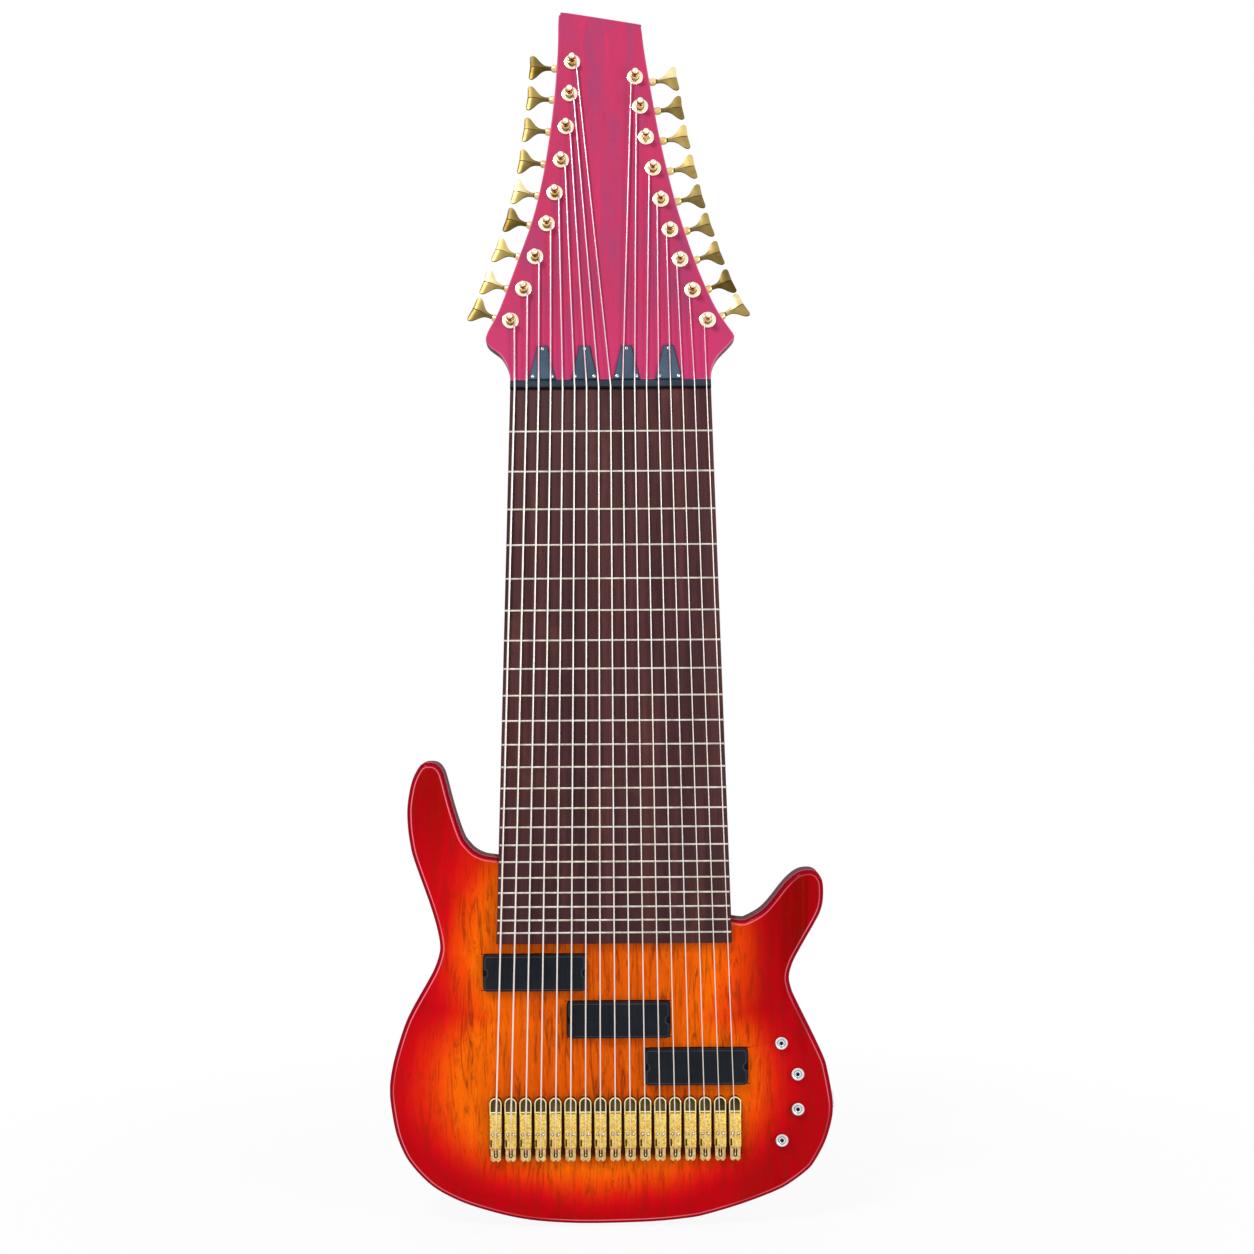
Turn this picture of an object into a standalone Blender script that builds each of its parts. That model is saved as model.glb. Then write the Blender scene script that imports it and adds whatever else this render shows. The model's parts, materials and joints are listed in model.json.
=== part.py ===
"""Electric bass guitar with seventeen strings, modelled piece by piece.

The instrument stands upright: +Z runs up the neck to the headstock, the front faces -Y and +X is to the
right as seen from the front. The origin is the middle of the nut line on the face of the fingerboard,
the zero of the string scale. Flat pieces are drawn on two planes: the front plane, whose local axes are
right, up and towards the viewer, and the face of the headstock, which leans back.
"""

import math

import bmesh
import bpy
from mathutils import Matrix, Vector

MM = 0.001

# Clearances
SEAT_GAP = 0.3 * MM
RUNNING_GAP = 0.3 * MM

# Strings and scale
SCALE_LENGTH = 863.6 * MM
STRING_COUNT = 17
NUT_PITCH = 13.7 * MM
SADDLE_PITCH = 17.1 * MM
BASS_STRING_RADIUS = 1.4 * MM
TREBLE_STRING_RADIUS = 0.65 * MM
STRING_SIDES = 4
STRING_BITE = 0.3 * MM

# Fingerboard and frets
FRET_COUNT = 22
BOARD_THICKNESS = 6.5 * MM
BOARD_MARGIN = 5.2 * MM
BOARD_OVERHANG = 12.7 * MM
FRET_WIDTH = 2.6 * MM
FRET_CROWN_WIDTH = 1.4 * MM
FRET_HEIGHT = 1.1 * MM
FRET_TANG = 0.5 * MM

# Nut
NUT_LENGTH = 9.7 * MM
NUT_ACTION = 0.8 * MM
NUT_SLOT_DEPTH = 1.0 * MM
NUT_CREST_LENGTH = 3.7 * MM
NUT_BACK_DROP = 4.0 * MM

# Neck
NECK_DEPTH_AT_NUT = 15.7 * MM
NECK_DEPTH_AT_HEEL = 19.2 * MM
NECK_ROUNDNESS = 3.0
HEEL_SQUARENESS = 14.0
NECK_SECTION_STEPS = 12
HEEL_LENGTH = 110.0 * MM
HEEL_BLEND = 55.0 * MM

# Headstock, given along its own leaning face from the bend
HEAD_TILT = math.radians(12.0)
HEAD_THICKNESS = 16.0 * MM
HEAD_STEP = 3.0 * MM
HEAD_START = 10.8 * MM
HEAD_BEVEL = 1.2 * MM
VOLUTE_LENGTH = 18.0 * MM
VOLUTE_COVER = 3.5 * MM
# Distance outside the nut's edge and distance up the face, in mm
BASS_SHOULDER = ((0.0, 0.0), (1.4, 10.0), (4.8, 20.0), (11.2, 30.5), (21.2, 38.5), (27.3, 45.0), (28.4, 52.0))
BASS_FLANK = (
    (24.7, 62.0), (12.2, 88.0), (-8.0, 146.0), (-24.3, 195.0), (-35.8, 245.0), (-44.3, 300.0),
    (-50.3, 355.0), (-53.9, 408.0), (-54.6, 445.0),
)
BASS_CORNER = ((-55.1, 455.5), (-58.8, 459.7), (-64.8, 459.5))
TREBLE_SHOULDER = ((0.0, 0.0), (0.8, 9.0), (3.2, 18.5), (8.6, 28.0), (17.2, 37.3), (25.0, 46.0), (27.8, 51.5))
TREBLE_FLANK = (
    (23.2, 60.0), (7.2, 86.0), (-9.8, 126.0), (-23.0, 165.0), (-37.3, 214.6), (-48.3, 262.0),
    (-57.8, 310.0), (-66.0, 362.0), (-72.8, 408.0), (-76.2, 438.0),
)
TREBLE_CORNER = ((-78.3, 443.0), (-83.8, 445.0))

# Tuning machines
TUNERS_A_SIDE = 9
SPARE_TREBLE_POST = 6
FIRST_POST = 70.5 * MM
BASS_POST_PITCH = 41.2 * MM
TREBLE_POST_PITCH = 39.4 * MM
BASS_POST_INSET = 17.9 * MM
TREBLE_POST_INSET = 16.1 * MM
POST_SIDES = 8
COIL_SIDES = 6
POST_RADIUS = 4.2 * MM
POST_WAIST_RADIUS = 3.2 * MM
POST_TIP_RADIUS = 3.2 * MM
POST_HEIGHT = 19.5 * MM
POST_HEAD = 7.0 * MM
POST_TAPER = 1.4 * MM
POST_SLOT_WIDTH = 2.2 * MM
POST_SLOT_DEPTH = 4.5 * MM
FERRULE_RADIUS = 9.4 * MM
FERRULE_HEIGHT = 2.2 * MM
FERRULE_SIDES = 10
COIL_HEIGHT = 5.0 * MM
COIL_START = 0.5 * MM
HOUSING_DEPTH = 11.5 * MM
HOUSING_WALL = 2.5 * MM
HOUSING_REACH = 15.8 * MM
HOUSING_BEVEL = 1.2 * MM
HOUSING_ROOT = 0.5 * MM
WORM_OFFSET = 2.3 * MM
WORM_RADIUS = 2.6 * MM
WORM_LENGTH = 9.6 * MM
KEY_SIDES = 6
KEY_COLLAR_RADIUS = 4.6 * MM
KEY_COLLAR_LENGTH = 10.6 * MM
KEY_COLLAR_ROUND = 1.6 * MM
KEY_NECK_RADIUS = 2.7 * MM
KEY_BUTTON_LENGTH = 25.5 * MM
KEY_BUTTON_WIDTH = 29.8 * MM
KEY_BUTTON_THICKNESS = 6.4 * MM
KEY_RIM_SHARE = 0.35
# Share of the button's length, and shares of its half width and half thickness there
KEY_BUTTON_SHAPE = (
    (0.16, 0.24, 1.0), (0.42, 0.53, 1.0), (0.79, 1.0, 0.8), (1.0, 0.86, 0.5),
)

# Truss rods and their covers
ROD_COUNT = 4
ROD_PITCH = 48.2 * MM
ROD_SHIFT = -5.7 * MM
ROD_WIDTH = 6.0 * MM
ROD_HEIGHT = 9.2 * MM
ROD_LENGTH = 532.0 * MM
ROD_TOP_GAP = 0.5 * MM
ROD_END = 12.0 * MM
ROD_NUT_RADIUS = 4.2 * MM
ROD_NUT_LENGTH = 14.0 * MM
ROD_POCKET_MARGIN = 1.3 * MM
COVER_FOOT = -0.4 * MM
# Distance from the middle of a cover and distance up from its foot, in mm
COVER_SIDE = ((15.9, 0.0), (15.3, 6.0), (13.4, 15.0), (8.2, 28.0), (6.2, 41.0))
COVER_THICKNESS = 2.2 * MM
COVER_BEVEL = 0.8 * MM

# Body, measured from the end of the fingerboard
BODY_STEP = 9.0 * MM
TOP_THICKNESS = 8.0 * MM
BODY_THICKNESS = 42.0 * MM
EDGE_RADIUS = 6.0 * MM
EDGE_SEGMENTS = 2
BACK_EDGE = 4.0 * MM
# Distance outside the fingerboard's end and distance up from that end, in mm
BASS_HORN = (
    (-0.9, 98.0), (11.8, 99.4), (24.6, 105.0), (37.2, 119.4), (43.0, 133.5), (49.5, 154.0), (55.6, 175.5),
    (60.2, 194.0), (65.8, 203.6), (74.0, 207.2), (85.0, 205.4), (94.2, 192.0), (101.3, 164.5),
    (102.0, 137.0), (98.2, 109.0), (90.4, 81.5), (80.2, 54.0), (71.2, 26.0), (65.6, -2.0), (66.8, -14.0),
    (75.1, -36.0), (91.2, -63.0), (105.2, -91.0), (114.7, -118.5), (121.8, -146.0), (124.5, -170.0),
    (122.1, -194.0), (116.5, -222.0), (104.1, -249.6), (78.9, -277.4), (57.2, -291.3),
)
TREBLE_HORN = (
    (3.4, 25.3), (13.9, 24.1), (32.6, 33.3), (46.6, 47.2), (57.2, 61.1), (71.3, 75.0), (84.0, 81.0),
    (97.0, 79.4), (104.2, 70.0), (105.8, 56.0), (103.7, 38.0), (97.2, 23.3), (81.0, -4.2), (69.0, -28.0),
    (65.8, -42.0), (68.6, -56.0), (79.3, -80.1), (92.9, -107.8), (105.4, -135.5), (112.1, -163.1),
    (115.4, -187.3), (114.1, -204.5), (105.9, -232.0), (89.6, -259.5), (73.5, -273.2), (50.4, -287.0),
)
# Across the heel and round the tail, in mm from the centre line
HEEL_EDGE = ((-90.0, 91.0), (-20.0, 72.0), (60.0, 44.0), (110.0, 30.0))
TAIL_EDGE = ((104.5, -314.0), (59.6, -320.5), (-18.6, -323.5), (-96.7, -319.5), (-157.6, -305.3))

# Bridges, given from the point where the string leaves the saddle
BRIDGE_SPACING = 3.1 * MM
BRIDGE_FRONT = 54.2 * MM
BRIDGE_TAIL = 19.0 * MM
BRIDGE_TRAY_HEIGHT = 9.0 * MM
BRIDGE_CREST_HEIGHT = 14.6 * MM
BRIDGE_BLOCK_FRONT = 36.2 * MM
BRIDGE_BLOCK_DROP = 1.6 * MM
BRIDGE_CREST_LENGTH = 2.0 * MM
BRIDGE_SLOPE = 7.0 * MM
BRIDGE_WALL = 1.4 * MM
BRIDGE_FLOOR = 3.0 * MM
BRIDGE_WAIST = 1.0 * MM
BRIDGE_ARCH_STEPS = 4
BRIDGE_WAIST_BLEND = 4.0 * MM
BRIDGE_CHAMFER = 2.4 * MM
BRIDGE_CHEEK_GAP = 0.7 * MM
STRING_ANCHOR_DEPTH = 7.0 * MM
STRING_ANCHOR_HEIGHT = 6.0 * MM

# Pickups
PICKUP_PLACES = (-91.3 * MM, 4.4 * MM, 93.0 * MM)
PICKUP_WIDTH = 117.6 * MM
PICKUP_LENGTH = 41.4 * MM
PICKUP_CORNER = 5.0 * MM
PICKUP_RISE = 8.5 * MM
PICKUP_DEPTH = 11.5 * MM
PICKUP_EDGE = 1.0 * MM
PICKUP_SCREW_RADIUS = 3.4 * MM
ROUT_MARGIN = 0.7 * MM

# Controls
KNOB_COUNT = 4
KNOB_ARC_RADIUS = 84.0 * MM
KNOB_ARC_STEP = math.radians(27.6)
KNOB_ARC_INSET = 7.3 * MM
KNOB_ARC_DROP = 171.5 * MM
KNOB_RADIUS = 7.4 * MM
KNOB_HEIGHT = 6.2 * MM
KNOB_LIFT = 0.5 * MM
KNOB_RIM = 1.6 * MM
KNOB_DISH = 0.6 * MM
KNOB_SIDES = 10
SHAFT_RADIUS = 3.0 * MM
SHAFT_LENGTH = 14.0 * MM
POT_RADIUS = 8.5 * MM
POT_DEPTH = 9.0 * MM
CAVITY_INNER = 15.0 * MM
CAVITY_OUTER = 17.0 * MM
CAVITY_END = math.radians(10.0)
LEDGE = 6.0 * MM
LID_THICKNESS = 2.0 * MM

# Jack socket and strap sockets
JACK_DROP = 187.0 * MM
JACK_BARREL_RADIUS = 6.5 * MM
JACK_BARREL_LENGTH = 28.0 * MM
JACK_FLANGE_RADIUS = 10.0 * MM
JACK_FLANGE_THICKNESS = 2.0 * MM
JACK_BORE_RADIUS = 3.4 * MM
JACK_BORE_LENGTH = 26.0 * MM
STRAP_TAIL_PLACE = -8.0 * MM
STRAP_HORN_OUT = 76.0 * MM
STRAP_HORN_UP = 178.0 * MM
STRAP_BARREL_RADIUS = 6.3 * MM
STRAP_BARREL_LENGTH = 14.0 * MM
STRAP_FLANGE_RADIUS = 8.0 * MM
STRAP_FLANGE_THICKNESS = 1.2 * MM
STRAP_BORE_RADIUS = 3.8 * MM
STRAP_BORE_LENGTH = 11.0 * MM
BORE_SIDES = 10

# A cutter runs this far past the faces that it opens
PASS = 2.0 * MM
CURVE_STEPS = 2
OUTLINE_STEPS = 4
OUTLINE_SLACK = 0.5 * MM


# Values that follow from the sizes above

def string_x(index, z):
    """Place across the neck of a string's centre line, at a height z."""
    pitch = NUT_PITCH - (SADDLE_PITCH - NUT_PITCH) * z / SCALE_LENGTH
    return (index - (STRING_COUNT - 1) / 2) * pitch


def string_radius(index):
    share = index / (STRING_COUNT - 1)
    return BASS_STRING_RADIUS + (TREBLE_STRING_RADIUS - BASS_STRING_RADIUS) * share


def half_width(z):
    """Half the width of the fingerboard and neck at a height z."""
    return string_x(STRING_COUNT - 1, z) + BOARD_MARGIN


def fret_z(number):
    return -SCALE_LENGTH * (1.0 - 2.0 ** (-number / 12.0))


BOARD_END = fret_z(FRET_COUNT) - BOARD_OVERHANG
NUT_HALF = half_width(0.0)
BOARD_END_HALF = half_width(BOARD_END)
NECK_TOP = BOARD_THICKNESS + SEAT_GAP
HEEL_BACK = NECK_TOP + NECK_DEPTH_AT_HEEL
TOP_BACK = BODY_STEP + TOP_THICKNESS
CORE_FRONT = TOP_BACK + SEAT_GAP
BODY_BACK = BODY_STEP + BODY_THICKNESS
NUT_CREST = FRET_HEIGHT + NUT_ACTION + NUT_SLOT_DEPTH
BRIDGE_WIDTH = SADDLE_PITCH - BRIDGE_SPACING
KEY_DEPTH = HEAD_THICKNESS + HOUSING_DEPTH - HOUSING_WALL - WORM_RADIUS - RUNNING_GAP
POST_FOOT = HEAD_THICKNESS + HOUSING_DEPTH / 2
WAIST_START = FERRULE_HEIGHT + RUNNING_GAP + POST_TAPER
KNOB_ARC_X = BOARD_END_HALF - KNOB_ARC_INSET
KNOB_ARC_Z = BOARD_END - KNOB_ARC_DROP

FRONT_PLANE = Matrix.Rotation(math.pi / 2, 4, "X")
HEAD_PLANE = Matrix.Translation((0.0, HEAD_STEP, HEAD_START)) @ Matrix.Rotation(
    math.pi / 2 - HEAD_TILT, 4, "X")


# Drawing

def curve_through(points, closed=False, steps=CURVE_STEPS):
    """A smooth line through the points: a centripetal Catmull-Rom curve."""
    points = [Vector(point) for point in points]
    if closed:
        points = [points[-1]] + points + points[:2]
    else:
        points = [2 * points[0] - points[1]] + points + [2 * points[-1] - points[-2]]
    line = []
    for before, start, end, after in zip(points, points[1:], points[2:], points[3:]):
        t0 = 0.0
        t1 = t0 + (start - before).length ** 0.5
        t2 = t1 + (end - start).length ** 0.5
        t3 = t2 + (after - end).length ** 0.5
        for step in range(steps):
            t = t1 + (t2 - t1) * step / steps
            a1 = before.lerp(start, (t - t0) / (t1 - t0))
            a2 = start.lerp(end, (t - t1) / (t2 - t1))
            a3 = end.lerp(after, (t - t2) / (t3 - t2))
            b1 = a1.lerp(a2, (t - t0) / (t2 - t0))
            b2 = a2.lerp(a3, (t - t1) / (t3 - t1))
            line.append(b1.lerp(b2, (t - t1) / (t2 - t1)))
    if not closed:
        line.append(points[-2].copy())
    return line


def thinned(line, slack):
    """The line without the points that a straight run between their neighbours passes within the slack."""
    kept = [line[0]]
    start = 0
    for end in range(2, len(line)):
        run = line[end] - line[start]
        skipped = line[start + 1:end]
        if max(abs(run.cross(point - line[start])) / run.length for point in skipped) > slack:
            start = end - 1
            kept.append(line[start])
    return kept + [line[-1]]


def arc(centre, radius, start, end, steps):
    """Points of an arc, from one angle to the other, both ends included."""
    line = []
    for step in range(steps + 1):
        angle = start + (end - start) * step / steps
        line.append(Vector((centre[0] + radius * math.cos(angle), centre[1] + radius * math.sin(angle))))
    return line


def round_corners(half_x, half_y, radius, steps=2):
    """A rectangle with round corners, about the origin."""
    quarter = math.pi / 2
    line = []
    for turn, (side_x, side_y) in enumerate(((1, 1), (-1, 1), (-1, -1), (1, -1))):
        centre = (side_x * (half_x - radius), side_y * (half_y - radius))
        line += arc(centre, radius, turn * quarter, (turn + 1) * quarter, steps)
    return line


def around(radius, sides):
    """The radius of a polygon whose flats lie at the radius given, so that a round piece fits inside."""
    return radius / math.cos(math.pi / sides)


def finish_mesh(bm, name):
    bmesh.ops.remove_doubles(bm, verts=bm.verts, dist=0.001 * MM)
    bmesh.ops.recalc_face_normals(bm, faces=bm.faces)
    mesh = bpy.data.meshes.new(name)
    bm.to_mesh(mesh)
    bm.free()
    return mesh


def slab(name, outline, low, high, front_round=0.0, back_round=0.0, segments=1):
    """A flat piece: its outline drawn out from low to high, with its rims rounded or chamfered."""
    bm = bmesh.new()
    rim = [bm.verts.new((point[0], point[1], low)) for point in outline]
    floor = bm.faces.new(rim)
    drawn = bmesh.ops.extrude_face_region(bm, geom=[floor])
    lifted = [item for item in drawn["geom"] if isinstance(item, bmesh.types.BMVert)]
    bmesh.ops.translate(bm, verts=lifted, vec=(0.0, 0.0, high - low))
    bmesh.ops.recalc_face_normals(bm, faces=bm.faces)
    for level, radius in ((high, front_round), (low, back_round)):
        if radius:
            rims = [edge for edge in bm.edges
                    if all(abs(vert.co.z - level) < 0.001 * MM for vert in edge.verts)]
            bmesh.ops.bevel(bm, geom=rims, offset=radius, segments=segments, profile=0.5,
                            affect="EDGES", material=-1)
    return finish_mesh(bm, name)


def turned(name, profile, sides, closed=False):
    """A turned piece about the local Z axis, from (radius, height) pairs."""
    bm = bmesh.new()
    line = [bm.verts.new((radius, 0.0, height)) for radius, height in profile]
    pairs = list(zip(line, line[1:]))
    if closed:
        pairs.append((line[-1], line[0]))
    edges = [bm.edges.new(pair) for pair in pairs]
    bmesh.ops.spin(bm, geom=line + edges, cent=(0, 0, 0), axis=(0, 0, 1), dvec=(0, 0, 0),
                   angle=2 * math.pi, steps=sides, use_merge=True, use_duplicate=False)
    return finish_mesh(bm, name)


def lofted(name, rings):
    """A solid through a row of rings with as many points each, closed at both ends."""
    bm = bmesh.new()
    loops = [[bm.verts.new(point) for point in ring] for ring in rings]
    for lower, upper in zip(loops, loops[1:]):
        for index, vert in enumerate(lower):
            after = (index + 1) % len(lower)
            bm.faces.new((vert, lower[after], upper[after], upper[index]))
    bm.faces.new(loops[0])
    bm.faces.new(loops[-1])
    return finish_mesh(bm, name)


def box(name, low, high):
    bm = bmesh.new()
    bmesh.ops.create_cube(bm, size=1.0)
    for vert in bm.verts:
        for axis in range(3):
            vert.co[axis] = high[axis] if vert.co[axis] > 0 else low[axis]
    return finish_mesh(bm, name)


def repeated(name, mesh, places):
    """One mesh with a copy of another at each place. The copies don't touch."""
    bm = bmesh.new()
    for place in places:
        known = len(bm.verts)
        bm.from_mesh(mesh)
        bm.verts.ensure_lookup_table()
        bmesh.ops.transform(bm, matrix=place, verts=bm.verts[known:])
    return finish_mesh(bm, name)


# Objects

def finish(name, colour, roughness, metallic=0.0):
    material = bpy.data.materials.new(name)
    material.diffuse_color = (*colour, 1.0)
    material.use_nodes = True
    shader = material.node_tree.nodes["Principled BSDF"]
    shader.inputs["Base Color"].default_value = (*colour, 1.0)
    shader.inputs["Roughness"].default_value = roughness
    shader.inputs["Metallic"].default_value = metallic
    return material


def put(name, mesh, material, parent=None, place=None):
    """A named piece of the instrument."""
    piece = bpy.data.objects.new(name, mesh)
    bpy.context.scene.collection.objects.link(piece)
    if material and not mesh.materials:
        mesh.materials.append(material)
    piece.parent = parent
    if place:
        piece.matrix_basis = place
    return piece


def shape(piece, mesh, operation, parent=None):
    """Unite a piece with a helper shape, or cut it by one. The helper isn't a piece of its own."""
    helper = put(mesh.name, mesh, None, parent)
    helper.hide_render = True
    helper.display_type = "WIRE"
    apply_helper(piece, helper, operation)
    return helper


def apply_helper(piece, helper, operation):
    step = piece.modifiers.new(helper.name, "BOOLEAN")
    step.operation = operation
    step.solver = "EXACT"
    step.object = helper


def settled(mesh, helper_mesh, operation):
    """The mesh that is left when a helper shape has been cut from another or united with it."""
    piece = put(mesh.name, mesh, None)
    helper = shape(piece, helper_mesh, operation)
    graph = bpy.context.evaluated_depsgraph_get()
    result = bpy.data.meshes.new_from_object(piece.evaluated_get(graph))
    bpy.data.objects.remove(piece)
    bpy.data.objects.remove(helper)
    return result


def plane(name, matrix):
    empty = bpy.data.objects.new(name, None)
    bpy.context.scene.collection.objects.link(empty)
    empty.matrix_world = matrix
    return empty


# Headstock outline and the rows of tuning machines

def head_points(side, pairs):
    """Points on the face of the headstock, from distances outside the nut's edge."""
    return [(side * (NUT_HALF + out * MM), up * MM) for out, up in pairs]


def head_edge(side, shoulder, flank, corner):
    """One edge of the headstock, from the nut to its upper corner."""
    foot = curve_through(head_points(side, shoulder + flank[:1]))
    return foot + head_points(side, flank[1:] + corner)


def head_outline():
    bass = head_edge(-1, BASS_SHOULDER, BASS_FLANK, BASS_CORNER)
    treble = head_edge(1, TREBLE_SHOULDER, TREBLE_FLANK, TREBLE_CORNER)
    return bass + treble[::-1]


def tuner_row(side):
    """Places of one row of posts: the post's centre, the way out to the key, and the way up the edge."""
    flank = BASS_FLANK if side < 0 else TREBLE_FLANK
    inset = BASS_POST_INSET if side < 0 else TREBLE_POST_INSET
    pitch = BASS_POST_PITCH if side < 0 else TREBLE_POST_PITCH
    edge = curve_through(head_points(side, flank), steps=16)
    line = []
    for start, end in zip(edge, edge[1:]):
        up = (end - start).normalized()
        out = Vector((side * up.y, -side * up.x))
        line.append((start - out * inset, out, up))
    row = []
    travelled = 0.0
    wanted = 0.0
    for (centre, out, up), (following, _, _) in zip(line, line[1:]):
        if centre.y < FIRST_POST:
            continue
        while travelled >= wanted and len(row) < TUNERS_A_SIDE:
            row.append((centre, out, up))
            wanted += pitch
        travelled += (following - centre).length
    return row


def tuner_rows():
    return {"bass": tuner_row(-1), "treble": tuner_row(1)}


def machine_place(centre, out, up):
    """Local axes of one tuning machine: out to the key, up the edge, towards the viewer."""
    return Matrix((
        (out.x, up.x, 0.0, centre.x),
        (out.y, up.y, 0.0, centre.y),
        (0.0, 0.0, 1.0, 0.0),
        (0.0, 0.0, 0.0, 1.0),
    ))


def key_place(centre, out, up):
    """Local axes of one key: along the headstock's edge, through the headstock, and out along the key."""
    axis = centre + up * WORM_OFFSET
    through = out.x * up.y - out.y * up.x
    return Matrix((
        (up.x, 0.0, out.x, axis.x),
        (up.y, 0.0, out.y, axis.y),
        (0.0, through, 0.0, -KEY_DEPTH),
        (0.0, 0.0, 0.0, 1.0),
    ))


def string_post(index):
    """The row, and the place in it, of the post that a string winds on."""
    if index < TUNERS_A_SIDE:
        return "bass", index
    place = STRING_COUNT - 1 - index
    return "treble", place + 1 if place >= SPARE_TREBLE_POST else place


# Neck

def neck_ring(z, top, bottom, half, squareness):
    """A section across the neck: flat under the fingerboard and rounded behind."""
    ring = []
    for step in range(NECK_SECTION_STEPS + 1):
        angle = math.pi * step / NECK_SECTION_STEPS
        across = abs(math.cos(angle)) ** (2.0 / squareness)
        down = abs(math.sin(angle)) ** (2.0 / squareness)
        if 2 * step == NECK_SECTION_STEPS:
            across = 0.0
        if step == NECK_SECTION_STEPS:
            down = 0.0
        ring.append((math.copysign(half * across, math.cos(angle)), top + (bottom - top) * down, z))
    return ring


def neck_back(z):
    """Depth of the back of the neck at a height z."""
    share = z / BOARD_END
    return NECK_TOP + NECK_DEPTH_AT_NUT + (NECK_DEPTH_AT_HEEL - NECK_DEPTH_AT_NUT) * share


def neck_shaft():
    buried = HEAD_START + VOLUTE_LENGTH
    face = HEAD_STEP + VOLUTE_LENGTH * math.tan(HEAD_TILT)
    back = face + HEAD_THICKNESS / math.cos(HEAD_TILT)
    rings = [neck_ring(buried, face + VOLUTE_COVER, back - VOLUTE_COVER / 2, NUT_HALF, NECK_ROUNDNESS)]
    blend_end = BOARD_END + HEEL_LENGTH
    for z in (HEAD_START, 0.0, BOARD_END / 2, blend_end + HEEL_BLEND):
        rings.append(neck_ring(z, NECK_TOP, neck_back(z), half_width(z), NECK_ROUNDNESS))
    for z in (blend_end, BOARD_END):
        rings.append(neck_ring(z, NECK_TOP, HEEL_BACK, half_width(z), HEEL_SQUARENESS))
    return lofted("neck", rings)


def housing():
    """The closed gear housing behind the headstock, beside its post and over its worm."""
    low = WORM_OFFSET - WORM_RADIUS - HOUSING_WALL
    high = WORM_OFFSET + WORM_RADIUS + HOUSING_WALL
    wide = POST_RADIUS + RUNNING_GAP + HOUSING_WALL
    outline = [(HOUSING_REACH, low), (HOUSING_REACH, high), (wide / 2, wide), (-wide / 2, wide),
               (-wide, wide / 2), (-wide, -wide / 2), (-wide / 2, -wide), (wide / 2, -wide)]
    return slab("housings", outline, -HEAD_THICKNESS - HOUSING_DEPTH, -HEAD_THICKNESS + HOUSING_ROOT,
                back_round=HOUSING_BEVEL)


def make_neck(material, head):
    """Neck and headstock in one blank, with the fixed halves of the tuning machines."""
    neck = put("neck", neck_shaft(), material)
    blank = slab("headstock_blank", head_outline(), -HEAD_THICKNESS, 0.0, HEAD_BEVEL, HEAD_BEVEL)
    shape(neck, blank, "UNION", head)
    places = [machine_place(*post) for row in tuner_rows().values() for post in row]
    ferrule = turned("ferrules", (
        (0.0, -HOUSING_ROOT), (FERRULE_RADIUS, -HOUSING_ROOT), (FERRULE_RADIUS, FERRULE_HEIGHT),
        (0.0, FERRULE_HEIGHT)), FERRULE_SIDES)
    shape(neck, repeated("ferrules", ferrule, places), "UNION", head)
    shape(neck, repeated("housings", housing(), places), "UNION", head)
    bore = around(POST_RADIUS + RUNNING_GAP, POST_SIDES)
    post_bore = turned("post_bores", (
        (0.0, -POST_FOOT - RUNNING_GAP), (bore, -POST_FOOT - RUNNING_GAP),
        (bore, FERRULE_HEIGHT + PASS), (0.0, FERRULE_HEIGHT + PASS)), POST_SIDES)
    shape(neck, repeated("post_bores", post_bore, places), "DIFFERENCE", head)
    bore = around(WORM_RADIUS + RUNNING_GAP, KEY_SIDES)
    key_bore = turned("key_bores", (
        (0.0, HOUSING_REACH - WORM_LENGTH - RUNNING_GAP), (bore, HOUSING_REACH - WORM_LENGTH - RUNNING_GAP),
        (bore, HOUSING_REACH + PASS), (0.0, HOUSING_REACH + PASS)), KEY_SIDES)
    worm = Matrix.Translation((0.0, WORM_OFFSET, -KEY_DEPTH)) @ Matrix.Rotation(math.pi / 2, 4, "Y")
    worm_places = [place @ worm for place in places]
    shape(neck, repeated("key_bores", key_bore, worm_places), "DIFFERENCE", head)
    channel, pocket = rod_cuts()
    shape(neck, channel, "DIFFERENCE")
    shape(neck, pocket, "DIFFERENCE")
    return neck


# Truss rods

def rod_places():
    return [ROD_SHIFT + (index - (ROD_COUNT - 1) / 2) * ROD_PITCH for index in range(ROD_COUNT)]


def rod_axis():
    return NECK_TOP + ROD_TOP_GAP + ROD_HEIGHT / 2


def rod_cuts():
    """The channels for the rods under the fingerboard, and the pockets for their adjusting nuts."""
    places = [Matrix.Translation((x, 0.0, 0.0)) for x in rod_places()]
    half = ROD_WIDTH / 2 + SEAT_GAP
    floor = rod_axis() + ROD_HEIGHT / 2 + SEAT_GAP
    channel = box("rod_channels", (-half, NECK_TOP - PASS, ROD_END - ROD_LENGTH - SEAT_GAP),
                  (half, floor, ROD_END + SEAT_GAP))
    reach = ROD_NUT_RADIUS + ROD_POCKET_MARGIN
    pocket = box("rod_pockets", (-reach, -PASS, HEAD_START - PASS / 2),
                 (reach, rod_axis() + reach, ROD_END + ROD_NUT_LENGTH + ROD_POCKET_MARGIN * 2))
    return repeated("rod_channels", channel, places), repeated("rod_pockets", pocket, places)


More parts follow.
